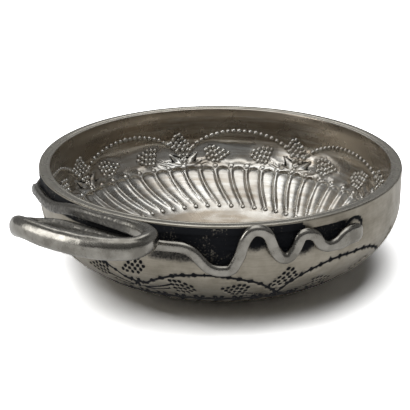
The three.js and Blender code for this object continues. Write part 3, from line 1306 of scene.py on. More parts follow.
@dataclass
class SerpentPockets:
    """Black that stays on the wall in the pockets along the serpent.

    Attributes:
        serpent: The serpent.
        deep: Share of black in a deep pocket.
        samples: Points along a stretch of the body.
        reach: Distance over which the body shelters the wall.
        shade_enclosure: Edges of the sheltering length that keeps black.
        above: Edges of the black over the body's line.
        below: Edges of the black under the body's line.
        ends: Window of the black over a stretch, from its ends.
        head_clear: Degrees before the head's end where this black ends.
        clean_drop: Depth to which the wall by the head is rubbed clean.
        clean_turns: Edges of the turns from which it is so.
        clean_side: Edges of the black at that depth.
        shaded_crests: Turning points of the neck with painted shade under them.
        crest_shade_sink: How far under a crest its painted shade starts.
        crest_shade_reach: Edges of the painted shade round a crest.
        crest_shade_side: Edges of the painted shade's start under a crest.
        head_middle: Degrees from the head's last turn to its middle.
        head_round: Radius of the outline round the head.
        head_line: Edges of its side.
        head_drops: Edges of the drops where it ends.
        head_turns: Edges of the turns where it starts.
        patches: The coil's pocket, the rubbed black right of it and the scratches over the head.
    """

    serpent: SerpentHandle
    deep: float = 2.0
    samples: int = 160
    reach: float = 1.9
    shade_enclosure: Pair = (2.0, 3.2)
    above: Pair = (0.2, 0.8)
    below: Pair = (0.0, -0.6)
    ends: Window = (-1.0, 2.0, -1.5, 1.5)
    head_clear: float = 2.5
    clean_drop: float = 2.3
    clean_turns: Pair = (55.5, 58.5)
    clean_side: Pair = (-0.3, 0.3)
    shaded_crests: tuple[int, ...] = (3, 5)
    crest_shade_sink: float = 1.3
    crest_shade_reach: Pair = (5.4, 1.0)
    crest_shade_side: Pair = (-0.4, 0.2)
    head_middle: float = 1.6
    head_round: float = 2.6
    head_line: Pair = (0.5, 0.2)
    head_drops: Pair = (6.2, 5.2)
    head_turns: Pair = (69.0, 73.0)
    patches: tuple[BlackPatch, ...] = (
        # Sulphide and painted shade in the pocket behind the finger ring, between the strands.
        BlackPatch(2.0, (-30.0, -24.0, 5.0, 8.0), (0.6, 1.4, 3.5, 4.9)),
        BlackPatch(0.5, (8.0, 15.0, 26.0, 31.0), (5.2, 6.2, 7.6, 9.0)),
        BlackPatch(0.3, (64.0, 68.0, 74.0, 84.0), (1.9, 2.4, 2.8, 4.6)),
    )

    def away(self, turn: Array, drop: Array) -> Array:
        """Distance along the wall for a difference of turns and of drops."""
        return np.hypot(np.radians(turn) * self.serpent.profile.rim_radius, drop)

    def stretch_oxide_and_shade(self, turns: Sequence[Pair], last: float, turn: Array, drop: Array) -> Array:
        """Black over one waving stretch, sulphide in the pockets, and painted shade under it.

        Args:
            turns: Turning points of the stretch.
            last: Turn where the black over it ends.
            turn: Turns.
            drop: Drops.

        Returns:
            Share of black at each point.
        """
        first = turns[0][0]
        samples = np.linspace(first, turns[-1][0], self.samples)
        drops = self.serpent.wave_drop(turns, samples)
        lengths = self.away(np.gradient(samples), np.gradient(drops))
        away = self.away(turn[:, None] - samples, drop[:, None] - drops)
        sheltered = np.exp(-((away / self.reach) ** 2)) @ lengths
        over = self.serpent.wave_drop(turns, turn) - drop
        start, full, late, end = self.ends
        within = window(turn, (first + start, first + full, last + late, last + end))
        clean = self.clean_drop * fade(turn, *self.clean_turns)
        # The black over the body is sulphide; the black under it is painted shade where the body encloses the
        # wall.
        upper = fade(over, *self.above) * within * fade(drop - clean, *self.clean_side)
        under = fade(sheltered, *self.shade_enclosure) * fade(over, *self.below)
        return self.deep * np.maximum(upper, under)

    def black(self, turn: Array, drop: Array) -> Array:
        """All black along the serpent: sulphide in pockets and painted shade under the body.

        Args:
            turn: Turns.
            drop: Drops.

        Returns:
            Share of black at each point: 2 in a deep pocket and less where it is rubbed.
        """
        tail, neck = self.serpent.tail_turns, self.serpent.head_turns
        shares = [patch.black(turn, drop) for patch in self.patches]
        # Painted shade under each crest of the neck, fading away from it.
        for crest, crest_drop in (neck[index] for index in self.shaded_crests):
            below = drop - crest_drop - self.crest_shade_sink
            near = fade(self.away(turn - crest, below), *self.crest_shade_reach)
            shares.append(near * fade(below, *self.crest_shade_side))
        tip, tip_drop = neck[-1]
        from_head = self.away(turn - tip - self.head_middle, drop - tip_drop)
        line = fade(np.abs(from_head - self.head_round), *self.head_line)
        shares.append(line * fade(drop, *self.head_drops) * fade(turn, *self.head_turns))
        for turns, last in ((tail, tail[-1][0]), (neck, tip - self.head_clear)):
            shares.append(self.stretch_oxide_and_shade(turns, last, turn, drop))
        return np.max(shares, axis=0)


@dataclass(frozen=True)
class PunchedWork:
    """Sizes of what is punched and engraved outside.

    A side is the edges of a slope, for dots and stems as shares of their half width.

    Attributes:
        spandrel: Punch marks over each groove: how far aside, how far over the tips, half width.
        spandrel_length: Length of these marks for a width of 1.
        pocket_depth: Depth of the ground in the serpent's pockets.
        pocket_grain: Unevenness of that ground.
        groove: Window of the black across a flute, from its middle at 0 to its edge at 1.
    """

    dot_depth: float = 0.32
    dot_side: Pair = (1.25, 0.85)
    line_depth: float = 0.2
    line_side: Pair = (0.46, 0.08)
    stem_side: Pair = (1.4, 0.5)
    spandrel: tuple[Triple, ...] = ((0.0, 0.0, 0.5), (0.75, 1.3, 0.46))
    spandrel_length: float = 1.8
    pocket_depth: float = 0.25
    pocket_grain: float = 0.3
    groove: Window = (0.7, 0.86, 1.12, 1.3)


@dataclass(frozen=True)
class RaisedWork:
    """Sizes of what is raised inside, and the black and the tarnish round it.

    A height is over the sheet, a side is the edges of a slope, a black is a share of black, and a ground
    is where that black lies. Round grapes and stems these are shares of their half width. Edges named
    foot or upper are measured from the tips of the flutes.

    Attributes:
        cushion_height: Height of the sheet under the bunches and arches.
        flute_shade_groove: Window of the black across a flute, from its middle at 0 to its edge at 1.
        bead_sunk: How far a bead's middle lies under the sheet.
        bead_spread: How much the hand varied a bead's size.
        bead_facets: Facets round a bead and from pole to pole.
        stalk: A stalk's first bead over its junction, end under the bunch, and pitch.
        stalk_bead: Half length, half width and height of a stalk's bead.
        tip_bead: How far over the tips a ridge has a bead, and its radius.
        foot_bead: The same over the foot.
        end_height: Height of these two beads for a radius of 1.
        film_low: Share of tarnish on the wall under the arches.
        film_arch: Edges, from the line of an arch, of full tarnish.
        film_floor: Share of tarnish on the floor.
        film_floor_width: Width over which it grows.
        lit_turn: Turn of the far inside wall, which faces the camera and is painted lighter as if lit.
        lit_share: Share of tarnish taken off there as painted light.
        lit_side: Edges of that place, as cosines.
    """

    leaf_height: float = 0.5
    leaf_black: float = 0.85
    leaf_foot: Pair = (0.6, 1.8)
    stem_height: float = 0.25
    stem_side: Pair = (2.2, 0.4)
    cushion_height: float = 0.14
    bunch_side: Pair = (2.6, 1.0)
    bunch_black: float = 0.4
    bunch_ground: Pair = (1.7, 1.1)
    arch_side: Pair = (0.75, 0.2)
    arch_shade: float = 0.25
    arch_shade_ground: Window = (0.4, 0.7, 0.9, 1.2)
    flute_shade: float = 0.4
    flute_shade_groove: Window = (0.5, 0.7, 0.74, 0.95)
    flute_shade_upper: Pair = (-3.5, -0.8)
    bead_height: float = 0.56
    bead_sunk: float = 0.08
    bead_spread: float = 0.08
    bead_facets: tuple[int, int] = (8, 6)
    bead_black: float = 0.4
    bead_ground: Pair = (0.4, 0.1)
    stalk: Triple = (0.8, 1.8, 1.05)
    stalk_bead: Triple = (0.5, 0.5, 0.6)
    tip_bead: Pair = (0.2, 0.9)
    foot_bead: Pair = (0.9, 0.65)
    end_height: float = 0.55
    film_low: float = 0.45
    film_arch: Pair = (-1.2, 0.4)
    film_foot: Pair = (0.5, 2.0)
    film_floor: float = 0.7
    film_floor_width: float = 2.0
    lit_turn: float = -147.0
    lit_share: float = 0.7
    lit_side: Pair = (0.55, 1.0)


@dataclass
class ChasedBowl:
    """The raised sheet with its gadroons, arches and bunches, punched outside and raised inside.

    Attributes:
        profile: The sheet's section.
        gadroons: The tongues as they show on each skin.
        ornament: The arches and bunches as they show on each skin.
        pockets: The black along the serpent.
        punched: Sizes of the work outside.
        raised: Sizes of the work inside.
        columns: Facets round the plain bowl.
        rows: Rows of facets on the base, to the flutes, on them and to the wall.
        wall_rows: Rows of facets on the wall outside and inside.
        band_margin: How far below the foot and the tips the rows change.
        wall_margin: How far up the wall the rows change.
        flute_foot: How far over the inside flutes' foot finer facets start.
        flute_drop: How far below the outside tips finer facets start.
        flute_top: How far over the tips they end.
        mark_cuts: Cuts of facets at the marks outside and inside.
        near_dot: Share of a dot's radius within which facets are cut.
        near_stem: The same for a stem's half width.
        near_arch: The same as a distance from the line of an arch.
        near_leaf: Share of a palmette's height and black from which they are cut.
        lip_width: Width of the sheet's thickened edge.
        lip_start: How far below the wall's foot it starts to thicken.
        pocket_start: How far below the wall's foot black may reach.
        crease: Degrees from which an edge stays sharp.
        seed: Seed of the small irregularities of hand work.
    """

    profile: SheetProfile
    gadroons: dict[Skin, Gadroons]
    ornament: dict[Skin, ArchOrnament]
    pockets: SerpentPockets
    punched: PunchedWork = PunchedWork()
    raised: RaisedWork = RaisedWork()
    columns: int = 448
    rows: tuple[int, ...] = (2, 3, 11, 18)
    wall_rows: tuple[int, int] = (16, 7)
    band_margin: float = 1.0
    wall_margin: float = 0.4
    flute_foot: float = 1.0
    flute_drop: float = 4.0
    flute_top: float = 2.2
    mark_cuts: tuple[int, int] = (2, 1)
    near_dot: float = 1.7
    near_stem: float = 2.0
    near_arch: float = 0.5
    near_leaf: float = 0.3
    lip_width: float = 2.6
    lip_start: float = 2.0
    pocket_start: float = 4.0
    crease: float = 80.0
    seed: int = 5

    def blank(self, skin: Skin) -> Mesh:
        """Spins the plain section of the sheet's outside, open at its top edge.

        Args:
            skin: Which face of the sheet gets its rows.

        Returns:
            The plain skin.
        """
        profile, gadroons = self.profile, self.gadroons[skin]
        flutes = (gadroons.foot_arc - self.band_margin, gadroons.tip_arc - self.band_margin)
        marks = (0.0, profile.base_radius, *flutes, profile.wall_arc + self.wall_margin, profile.top_arc)
        rows = (*self.rows, self.wall_rows[skin.value])
        bands = [np.linspace(a, b, n, endpoint=False) for a, b, n in zip(marks, marks[1:], rows)]
        arcs = np.append(np.concatenate(bands), profile.top_arc)
        return spin_section(profile.place(np.zeros(len(arcs)), arcs, 0.0), self.columns)

    def locate(self, points: Array) -> tuple[Array, Array]:
        """Turns and arcs of points on the plain skin."""
        radius = np.hypot(points[:, 0], points[:, 1])
        return turn_of(points), self.profile.arc_of_point(radius, points[:, 2])

    def locate_faces(self, mesh_data: Mesh) -> tuple[Array, Array]:
        """Turns and arcs of the middles of a plain skin's faces."""
        return self.locate(np.array([face.calc_center_median() for face in mesh_data.faces]))

    def refine(self, mesh_data: Mesh, chosen: Array, cuts: int) -> None:
        """Divides the faces where the chasing needs more facets.

        Args:
            mesh_data: The skin.
            chosen: True for each face to divide.
            cuts: Cuts of each edge.
        """
        edges = {edge for face, take in zip(mesh_data.faces, chosen) if take for edge in face.edges}
        ordered = sorted(edges, key=lambda edge: edge.index)
        bmesh.ops.subdivide_edges(mesh_data, edges=ordered, cuts=cuts, use_grid_fill=True)

    def on_flutes(self, skin: Skin, arc: Array) -> Array:
        """Whether faces lie on the flutes or round their tips.

        Args:
            skin: Which face of the sheet.
            arc: Arcs.

        Returns:
            True for each face that does.
        """
        gadroons = self.gadroons[skin]
        lowest = gadroons.tip_arc - self.flute_drop
        if skin is Skin.INSIDE:
            lowest = gadroons.foot_arc + self.flute_foot
        return (arc > lowest) & (arc < gadroons.tip_arc + self.flute_top)

    def near_marks(self, skin: Skin, turn: Array, arc: Array) -> Array:
        """Whether faces over the flutes lie on or beside the marks and leaves of a skin.

        Args:
            skin: Which face of the sheet.
            turn: Turns.
            arc: Arcs.

        Returns:
            True for each face to divide.
        """
        ornament = self.ornament[skin]
        over_flutes = ~self.on_flutes(skin, arc)
        stems = ornament.stem_edge(turn, arc) < self.near_stem
        if skin is Skin.OUTSIDE:
            dots = np.minimum(ornament.grape_edge(turn, arc), ornament.bead_edge(turn, arc)) < self.near_dot
            return over_flutes & (dots | stems | (ornament.arch_distance(turn, arc) < self.near_arch))
        height, black = ornament.leaf_relief(turn, arc)
        return over_flutes & (stems | (height + black > self.near_leaf))

    def spandrel_marks(self, turn: Array, arc: Array) -> Array:
        """How near points lie to the three punch marks over each groove outside.

        Args:
            turn: Turns.
            arc: Arcs.

        Returns:
            0 in the middle of a mark and 1 on its edge.
        """
        gadroons, work = self.gadroons[Skin.OUTSIDE], self.punched
        aside = (0.5 - np.abs(gadroons.across(turn, arc))) * math.radians(gadroons.pitch)
        aside = aside * self.profile.section(arc)[0]
        over = (arc - gadroons.tip_arc) / work.spandrel_length
        marks = [
            np.hypot(aside - x, over - y / work.spandrel_length) / size for x, y, size in work.spandrel
        ]
        return np.min(marks, axis=0)

    def pocket_black(self, turn: Array, arc: Array) -> Array:
        """Black on the wall along the serpent.

        Args:
            turn: Turns.
            arc: Arcs.

        Returns:
            Share of black at each point.
        """
        on_wall = arc > self.profile.wall_arc - self.pocket_start
        black = np.zeros(turn.shape)
        drop = self.profile.bowl_height - self.profile.section(arc)[1]
        black[on_wall] = self.pockets.black(turn[on_wall], drop[on_wall])
        return black

    def outside_relief(self, turn: Array, arc: Array) -> tuple[Array, Array]:
        """Depth and black of the outside.

        Args:
            turn: Turns.
            arc: Arcs.

        Returns:
            How far the outside is sunk, and its share of black.
        """
        ornament, gadroons, work = self.ornament[Skin.OUTSIDE], self.gadroons[Skin.OUTSIDE], self.punched
        round_marks = [method(turn, arc) for method in (ornament.grape_edge, ornament.bead_edge)]
        round_marks.append(self.spandrel_marks(turn, arc))
        dots = fade(np.min(round_marks, axis=0), *work.dot_side)
        line = fade(ornament.arch_distance(turn, arc), *work.line_side)
        stems = fade(ornament.stem_edge(turn, arc), *work.stem_side)
        pockets = self.pocket_black(turn, arc)
        grains = np.random.default_rng(self.seed).standard_normal(turn.shape)
        ground = work.pocket_depth * np.minimum(pockets, 1.0) * (1.0 + work.pocket_grain * grains)
        marks = np.maximum(work.dot_depth * dots, work.line_depth * np.maximum(line, stems))
        black = np.max([dots, line, stems, pockets, gadroons.groove(turn, arc, work.groove)], axis=0)
        return marks + ground + gadroons.relief(turn, arc), black

    def inside_relief(self, turn: Array, arc: Array) -> tuple[Array, Array]:
        """Height and black of the inside.

        Args:
            turn: Turns.
            arc: Arcs.

        Returns:
            How far the inside is raised, and its share of black.
        """
        ornament, gadroons, work = self.ornament[Skin.INSIDE], self.gadroons[Skin.INSIDE], self.raised
        leaf, leaf_black = ornament.leaf_relief(turn, arc)
        grapes = ornament.grape_edge(turn, arc)
        arch = ornament.arch_distance(turn, arc)
        over = arc - gadroons.tip_arc
        heights = [
            work.leaf_height * leaf,
            work.stem_height * fade(ornament.stem_edge(turn, arc), *work.stem_side),
            work.cushion_height * fade(grapes, *work.bunch_side),
            work.cushion_height * fade(arch, *work.arch_side),
        ]
        # Painted shade along the sides of the flutes under their round tips.
        flutes = gadroons.groove(turn, arc, work.flute_shade_groove) * fade(over, *work.flute_shade_upper)
        blacks = [
            work.leaf_black * leaf_black * fade(over, *work.leaf_foot),
            work.bunch_black * fade(grapes, *work.bunch_ground),
            # Painted shade round the beads of the arches.
            work.arch_shade * window(arch, work.arch_shade_ground),
            work.flute_shade * flutes,
        ]
        return np.max(heights, axis=0) + gadroons.relief(turn, arc), np.max(blacks, axis=0)

    def inside_film(self, turn: Array, arc: Array) -> Array:
        """Tarnish of the inside, with painted light: less on the leaves and on the far wall that faces the
        camera.

        Args:
            turn: Turns.
            arc: Arcs.

        Returns:
            Share of tarnish at each point.
        """
        ornament, gadroons, work = self.ornament[Skin.INSIDE], self.gadroons[Skin.INSIDE], self.raised
        over_arch = fade(arc - ornament.arch_arc(ornament.fold(turn)), *work.film_arch)
        wall = between(work.film_low, 1.0, over_arch) * fade(arc - gadroons.tip_arc, *work.film_foot)
        # Painted highlight: the raised leaves get less tarnish and show lighter.
        wall *= 1.0 - ornament.leaf_relief(turn, arc)[0]
        # Painted light: the far inside wall, which faces the camera, gets less tarnish.
        facing = np.cos(np.radians(turn - work.lit_turn))
        wall *= 1.0 - work.lit_share * fade(facing, *work.lit_side)
        return wall + work.film_floor * fade(arc - gadroons.foot_arc, 0.0, -work.film_floor_width)

    def inside_level(self, arc: Array) -> Array:
        """How far the plain inside lies from the outside, which thickens towards the lip."""
        grown = fade(arc, self.profile.wall_arc - self.lip_start, self.profile.top_arc)
        return between(self.profile.thickness, self.lip_width, grown)

    def chase(self, mesh_data: Mesh, skin: Skin) -> None:
        """Moves a refined skin to its relief and marks its black and tarnish.

        Args:
            mesh_data: The skin.
            skin: Which face of the sheet it becomes.
        """
        turn, arc = self.locate(places_of(mesh_data))
        if skin is Skin.OUTSIDE:
            inward, black = self.outside_relief(turn, arc)
        else:
            relief, black = self.inside_relief(turn, arc)
            inward = self.inside_level(arc) + relief
            mark(mesh_data, FILM_AND_SHADING, self.inside_film(turn, arc))
            bmesh.ops.reverse_faces(mesh_data, faces=mesh_data.faces)
        mark(mesh_data, PATINA_AND_SHADE, black)
        move(mesh_data, self.profile.place(turn, arc, inward))
        for face in mesh_data.faces:
            face.material_index = skin.value

    def build(self, outside: Material, inside: Material) -> Thing:
        """Makes both skins and joins them along the top edge.

        Args:
            outside: Finish of the outside.
            inside: Finish of the inside.

        Returns:
            The piece, which stands for the solid bowl.
        """
        sheet = bmesh.new()
        for skin in Skin:
            mesh_data = self.blank(skin)
            self.refine(mesh_data, self.on_flutes(skin, self.locate_faces(mesh_data)[1]), 1)
            marked = self.near_marks(skin, *self.locate_faces(mesh_data))
            self.refine(mesh_data, marked, self.mark_cuts[skin.value])
            self.chase(mesh_data, skin)
            part = bpy.data.meshes.new(skin.name)
            mesh_data.to_mesh(part)
            mesh_data.free()
            sheet.from_mesh(part)
            bpy.data.meshes.remove(part)
        open_edges = [edge for edge in sheet.edges if edge.is_boundary]
        bmesh.ops.bridge_loops(sheet, edges=open_edges)
        crease = math.radians(self.crease)
        piece = finish_piece(sheet, "chased_bowl", [outside, inside], crease)
        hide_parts("bowl")
        return piece

    def bead_spots(self) -> Array:
        """Places and sizes of everything that stands up as a bead inside.

        Returns:
            A row for each bead: turn, arc, lean, half length, half width and height.
        """
        ornament, gadroons, work = self.ornament[Skin.INSIDE], self.gadroons[Skin.INSIDE], self.raised
        degrees, arcs = ornament.arch_beads()
        grapes = ornament.grapes()
        grape_turns, grape_arcs = ornament.to_sheet(grapes[:, 0], grapes[:, 1])
        first, short, pitch = work.stalk
        stalk_arcs = ornament.junction_arc + np.arange(first, ornament.centre_lift - short, pitch)
        spots = []
        for k in range(ornament.count):
            junction = ornament.first_turn + k * ornament.repeat
            for degree, arc in zip(degrees, arcs):
                spots.append((junction + degree, arc, 0.0, ornament.bead, ornament.bead, work.bead_height))
            for degree, arc, lean, swell in zip(grape_turns, grape_arcs, grapes[:, 2], grapes[:, 3]):
                length, width = (half * swell for half in ornament.grape)
                spots.append((junction + degree, arc, lean, length, width, work.bead_height))
            spots += [(junction, arc, 0.0, *work.stalk_bead) for arc in stalk_arcs]
        for end, (over, size) in ((gadroons.tip_arc, work.tip_bead), (gadroons.foot_arc, work.foot_bead)):
            arc = end + over
            sizes = (size, size, work.end_height * size)
            spots += [(turn, arc, 0.0, *sizes) for turn in gadroons.ridge_turns(arc)]
        return np.array(spots)

    def bead_axes(self, spots: Array, inward: Array) -> Array:
        """Half axes of the beads, each lying along the sheet at its lean.

        Args:
            spots: The beads, as bead_spots gives them.
            inward: For each bead the direction square to the sheet.

        Returns:
            Three rows for each bead: along it, across it and inward.
        """
        azimuth = np.radians(spots[:, 0] + RING_AZIMUTH)
        leans = np.radians(spots[:, 2])[:, None]
        sideways = np.stack([-np.sin(azimuth), np.cos(azimuth), np.zeros(len(spots))], axis=-1)
        upward = np.cross(inward, sideways)
        along = sideways * np.cos(leans) + upward * np.sin(leans)
        beside = upward * np.cos(leans) - sideways * np.sin(leans)
        uneven = np.random.default_rng(self.seed).standard_normal((len(spots), 1))
        grown = 1.0 + self.raised.bead_spread * uneven
        rows = [along * spots[:, 3:4] * grown, beside * spots[:, 4:5] * grown, inward * spots[:, 5:6]]
        return np.stack(rows, axis=1)

    def build_beads(self, material: Material) -> Thing:
        """Makes the beads of the arches, the grapes and the beads at the ends of the ridges inside.

        Args:
            material: Their finish.

        Returns:
            The piece.
        """
        work = self.raised
        spots = self.bead_spots()
        turns, arcs = spots[:, 0], spots[:, 1]
        level = self.inside_level(arcs) + self.inside_relief(turns, arcs)[0] - work.bead_sunk
        bases = self.profile.place(turns, arcs, level)
        inward = self.profile.place(turns, arcs, level + 1.0) - bases
        ball = bmesh.new()
        across, poles = work.bead_facets
        bmesh.ops.create_uvsphere(ball, u_segments=across, v_segments=poles, radius=1.0)
        rounds = places_of(ball)
        part = bpy.data.meshes.new("bead")
        ball.to_mesh(part)
        ball.free()
        mesh_data = bmesh.new()
        for _ in spots:
            mesh_data.from_mesh(part)
        bpy.data.meshes.remove(part)
        places = bases[:, None, :] + np.einsum("vi,bij->bvj", rounds, self.bead_axes(spots, inward))
        move(mesh_data, places.reshape(-1, 3))
        bmesh.ops.recalc_face_normals(mesh_data, faces=mesh_data.faces)
        black = work.bead_black * fade(rounds[:, 2], *work.bead_ground)
        mark(mesh_data, PATINA_AND_SHADE, np.tile(black, len(spots)))
        return finish_piece(mesh_data, "raised_grapes", [material])


@dataclass
class LipWire:
    """Thick lip wire on the edge of the sheet: rounded outside and flat on top, with a fine groove.

    Attributes:
        profile: The sheet's section.
        pockets: The black along the serpent.
        width: Its width.
        height: Its height over the edge of the sheet.
        groove: Points of the fine groove: from the outer edge, and depth.
        outer_round: Radius of its outer edge.
        outer_angles: Degrees of the points round it.
        inner_round: Radius of its inner edge.
        inner_angles: Degrees of the points round it.
        inner_drop: How far its inner edge lies under its top.
        face_rows: Points up its outer face.
        skin: Width by which its faces differ from its top.
        columns: Facets round the bowl.
        crease: Degrees from which an edge stays sharp.
    """

    profile: SheetProfile
    pockets: SerpentPockets
    width: float = 2.6
    height: float = 2.0
    groove: tuple[Pair, ...] = ((1.6, 0.02), (1.75, 0.1), (1.9, 0.04))
    outer_round: float = 0.35
    outer_angles: tuple[float, ...] = (22.5, 45.0, 67.5, 90.0)
    inner_round: float = 0.3
    inner_angles: tuple[float, ...] = (90.0, 60.0, 30.0, 0.0)
    inner_drop: float = 0.1
    face_rows: int = 7
    skin: float = 0.1
    columns: int = 448
    crease: float = 40.0

    def corner(self, radius: float, angles: Sequence[float]) -> list[Pair]:
        """How far points of a round edge, at degrees over the level, lie beside and under its corner."""
        turned = np.radians(angles)
        return list(zip(radius * (1.0 - np.cos(turned)), radius * (1.0 - np.sin(turned))))

    def outline(self) -> list[Pair]:
        """Closed section of the wire.

        Returns:
            Radius and height of each point.
        """
        top, outer = self.profile.bowl_height, self.profile.rim_radius
        seat, inner = top - self.height, outer - self.width
        points = [(outer, height) for height in np.linspace(seat, top - self.outer_round, self.face_rows)]
        round_edge = self.corner(self.outer_round, self.outer_angles)
        points += [(outer - reach, top - rise) for reach, rise in round_edge]
        points += [(outer - place, top - depth) for place, depth in self.groove]
        round_edge = self.corner(self.inner_round, self.inner_angles)
        points += [(inner + reach, top - self.inner_drop - rise) for reach, rise in round_edge]
        return [*points, (inner, seat)]

    def build(self, top: Material, outside: Material, inside: Material) -> Thing:
        """Spins the section round the axis.

        Args:
            top: Finish of the top.
            outside: Finish of the outer face, as on the wall under it.
            inside: Finish of the inner face, as on the sheet under it.

        Returns:
            The piece, which stands for the solid wire.
        """
        mesh_data = spin_section([(r, 0.0, z) for r, z in self.outline()], self.columns, closed=True)
        points = places_of(mesh_data)
        outer, inner = self.profile.rim_radius, self.profile.rim_radius - self.width
        reach = np.hypot(points[:, 0], points[:, 1])
        drop = self.profile.bowl_height - points[:, 2]
        outer_face = (reach > outer - self.skin) & (drop > self.outer_round + self.skin / 2.0)
        black = np.zeros(len(points))
        black[outer_face] = self.pockets.black(turn_of(points)[outer_face], drop[outer_face])
        mark(mesh_data, PATINA_AND_SHADE, black)
        mark(mesh_data, FILM_AND_SHADING, fade(reach, inner + self.skin, inner))
        for face in mesh_data.faces:
            middle = face.calc_center_median().xy.length
            face.material_index = int(middle > outer - self.skin) + 2 * int(middle < inner + self.skin)
        materials = [top, outside, inside]
        piece = finish_piece(mesh_data, "lip_wire", materials, math.radians(self.crease))
        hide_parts("rim_wire")
        return piece


@dataclass(frozen=True)
class Flag:
    """A card, dark or bright, that reflections in the metal see.

    Attributes:
        azimuths: Degrees from +X of its two sides.
        elevations: Degrees over the floor of its two edges.
        shine: Its brightness.
        distance: From the bowl.
        facets: Facets from edge to edge and from side to side.
        clearance: How far its lower edge stands off the floor.
    """

    azimuths: Pair
    elevations: Pair
    shine: float
    distance: float = 1500.0
    facets: tuple[int, int] = (7, 32)
    clearance: float = 1.0


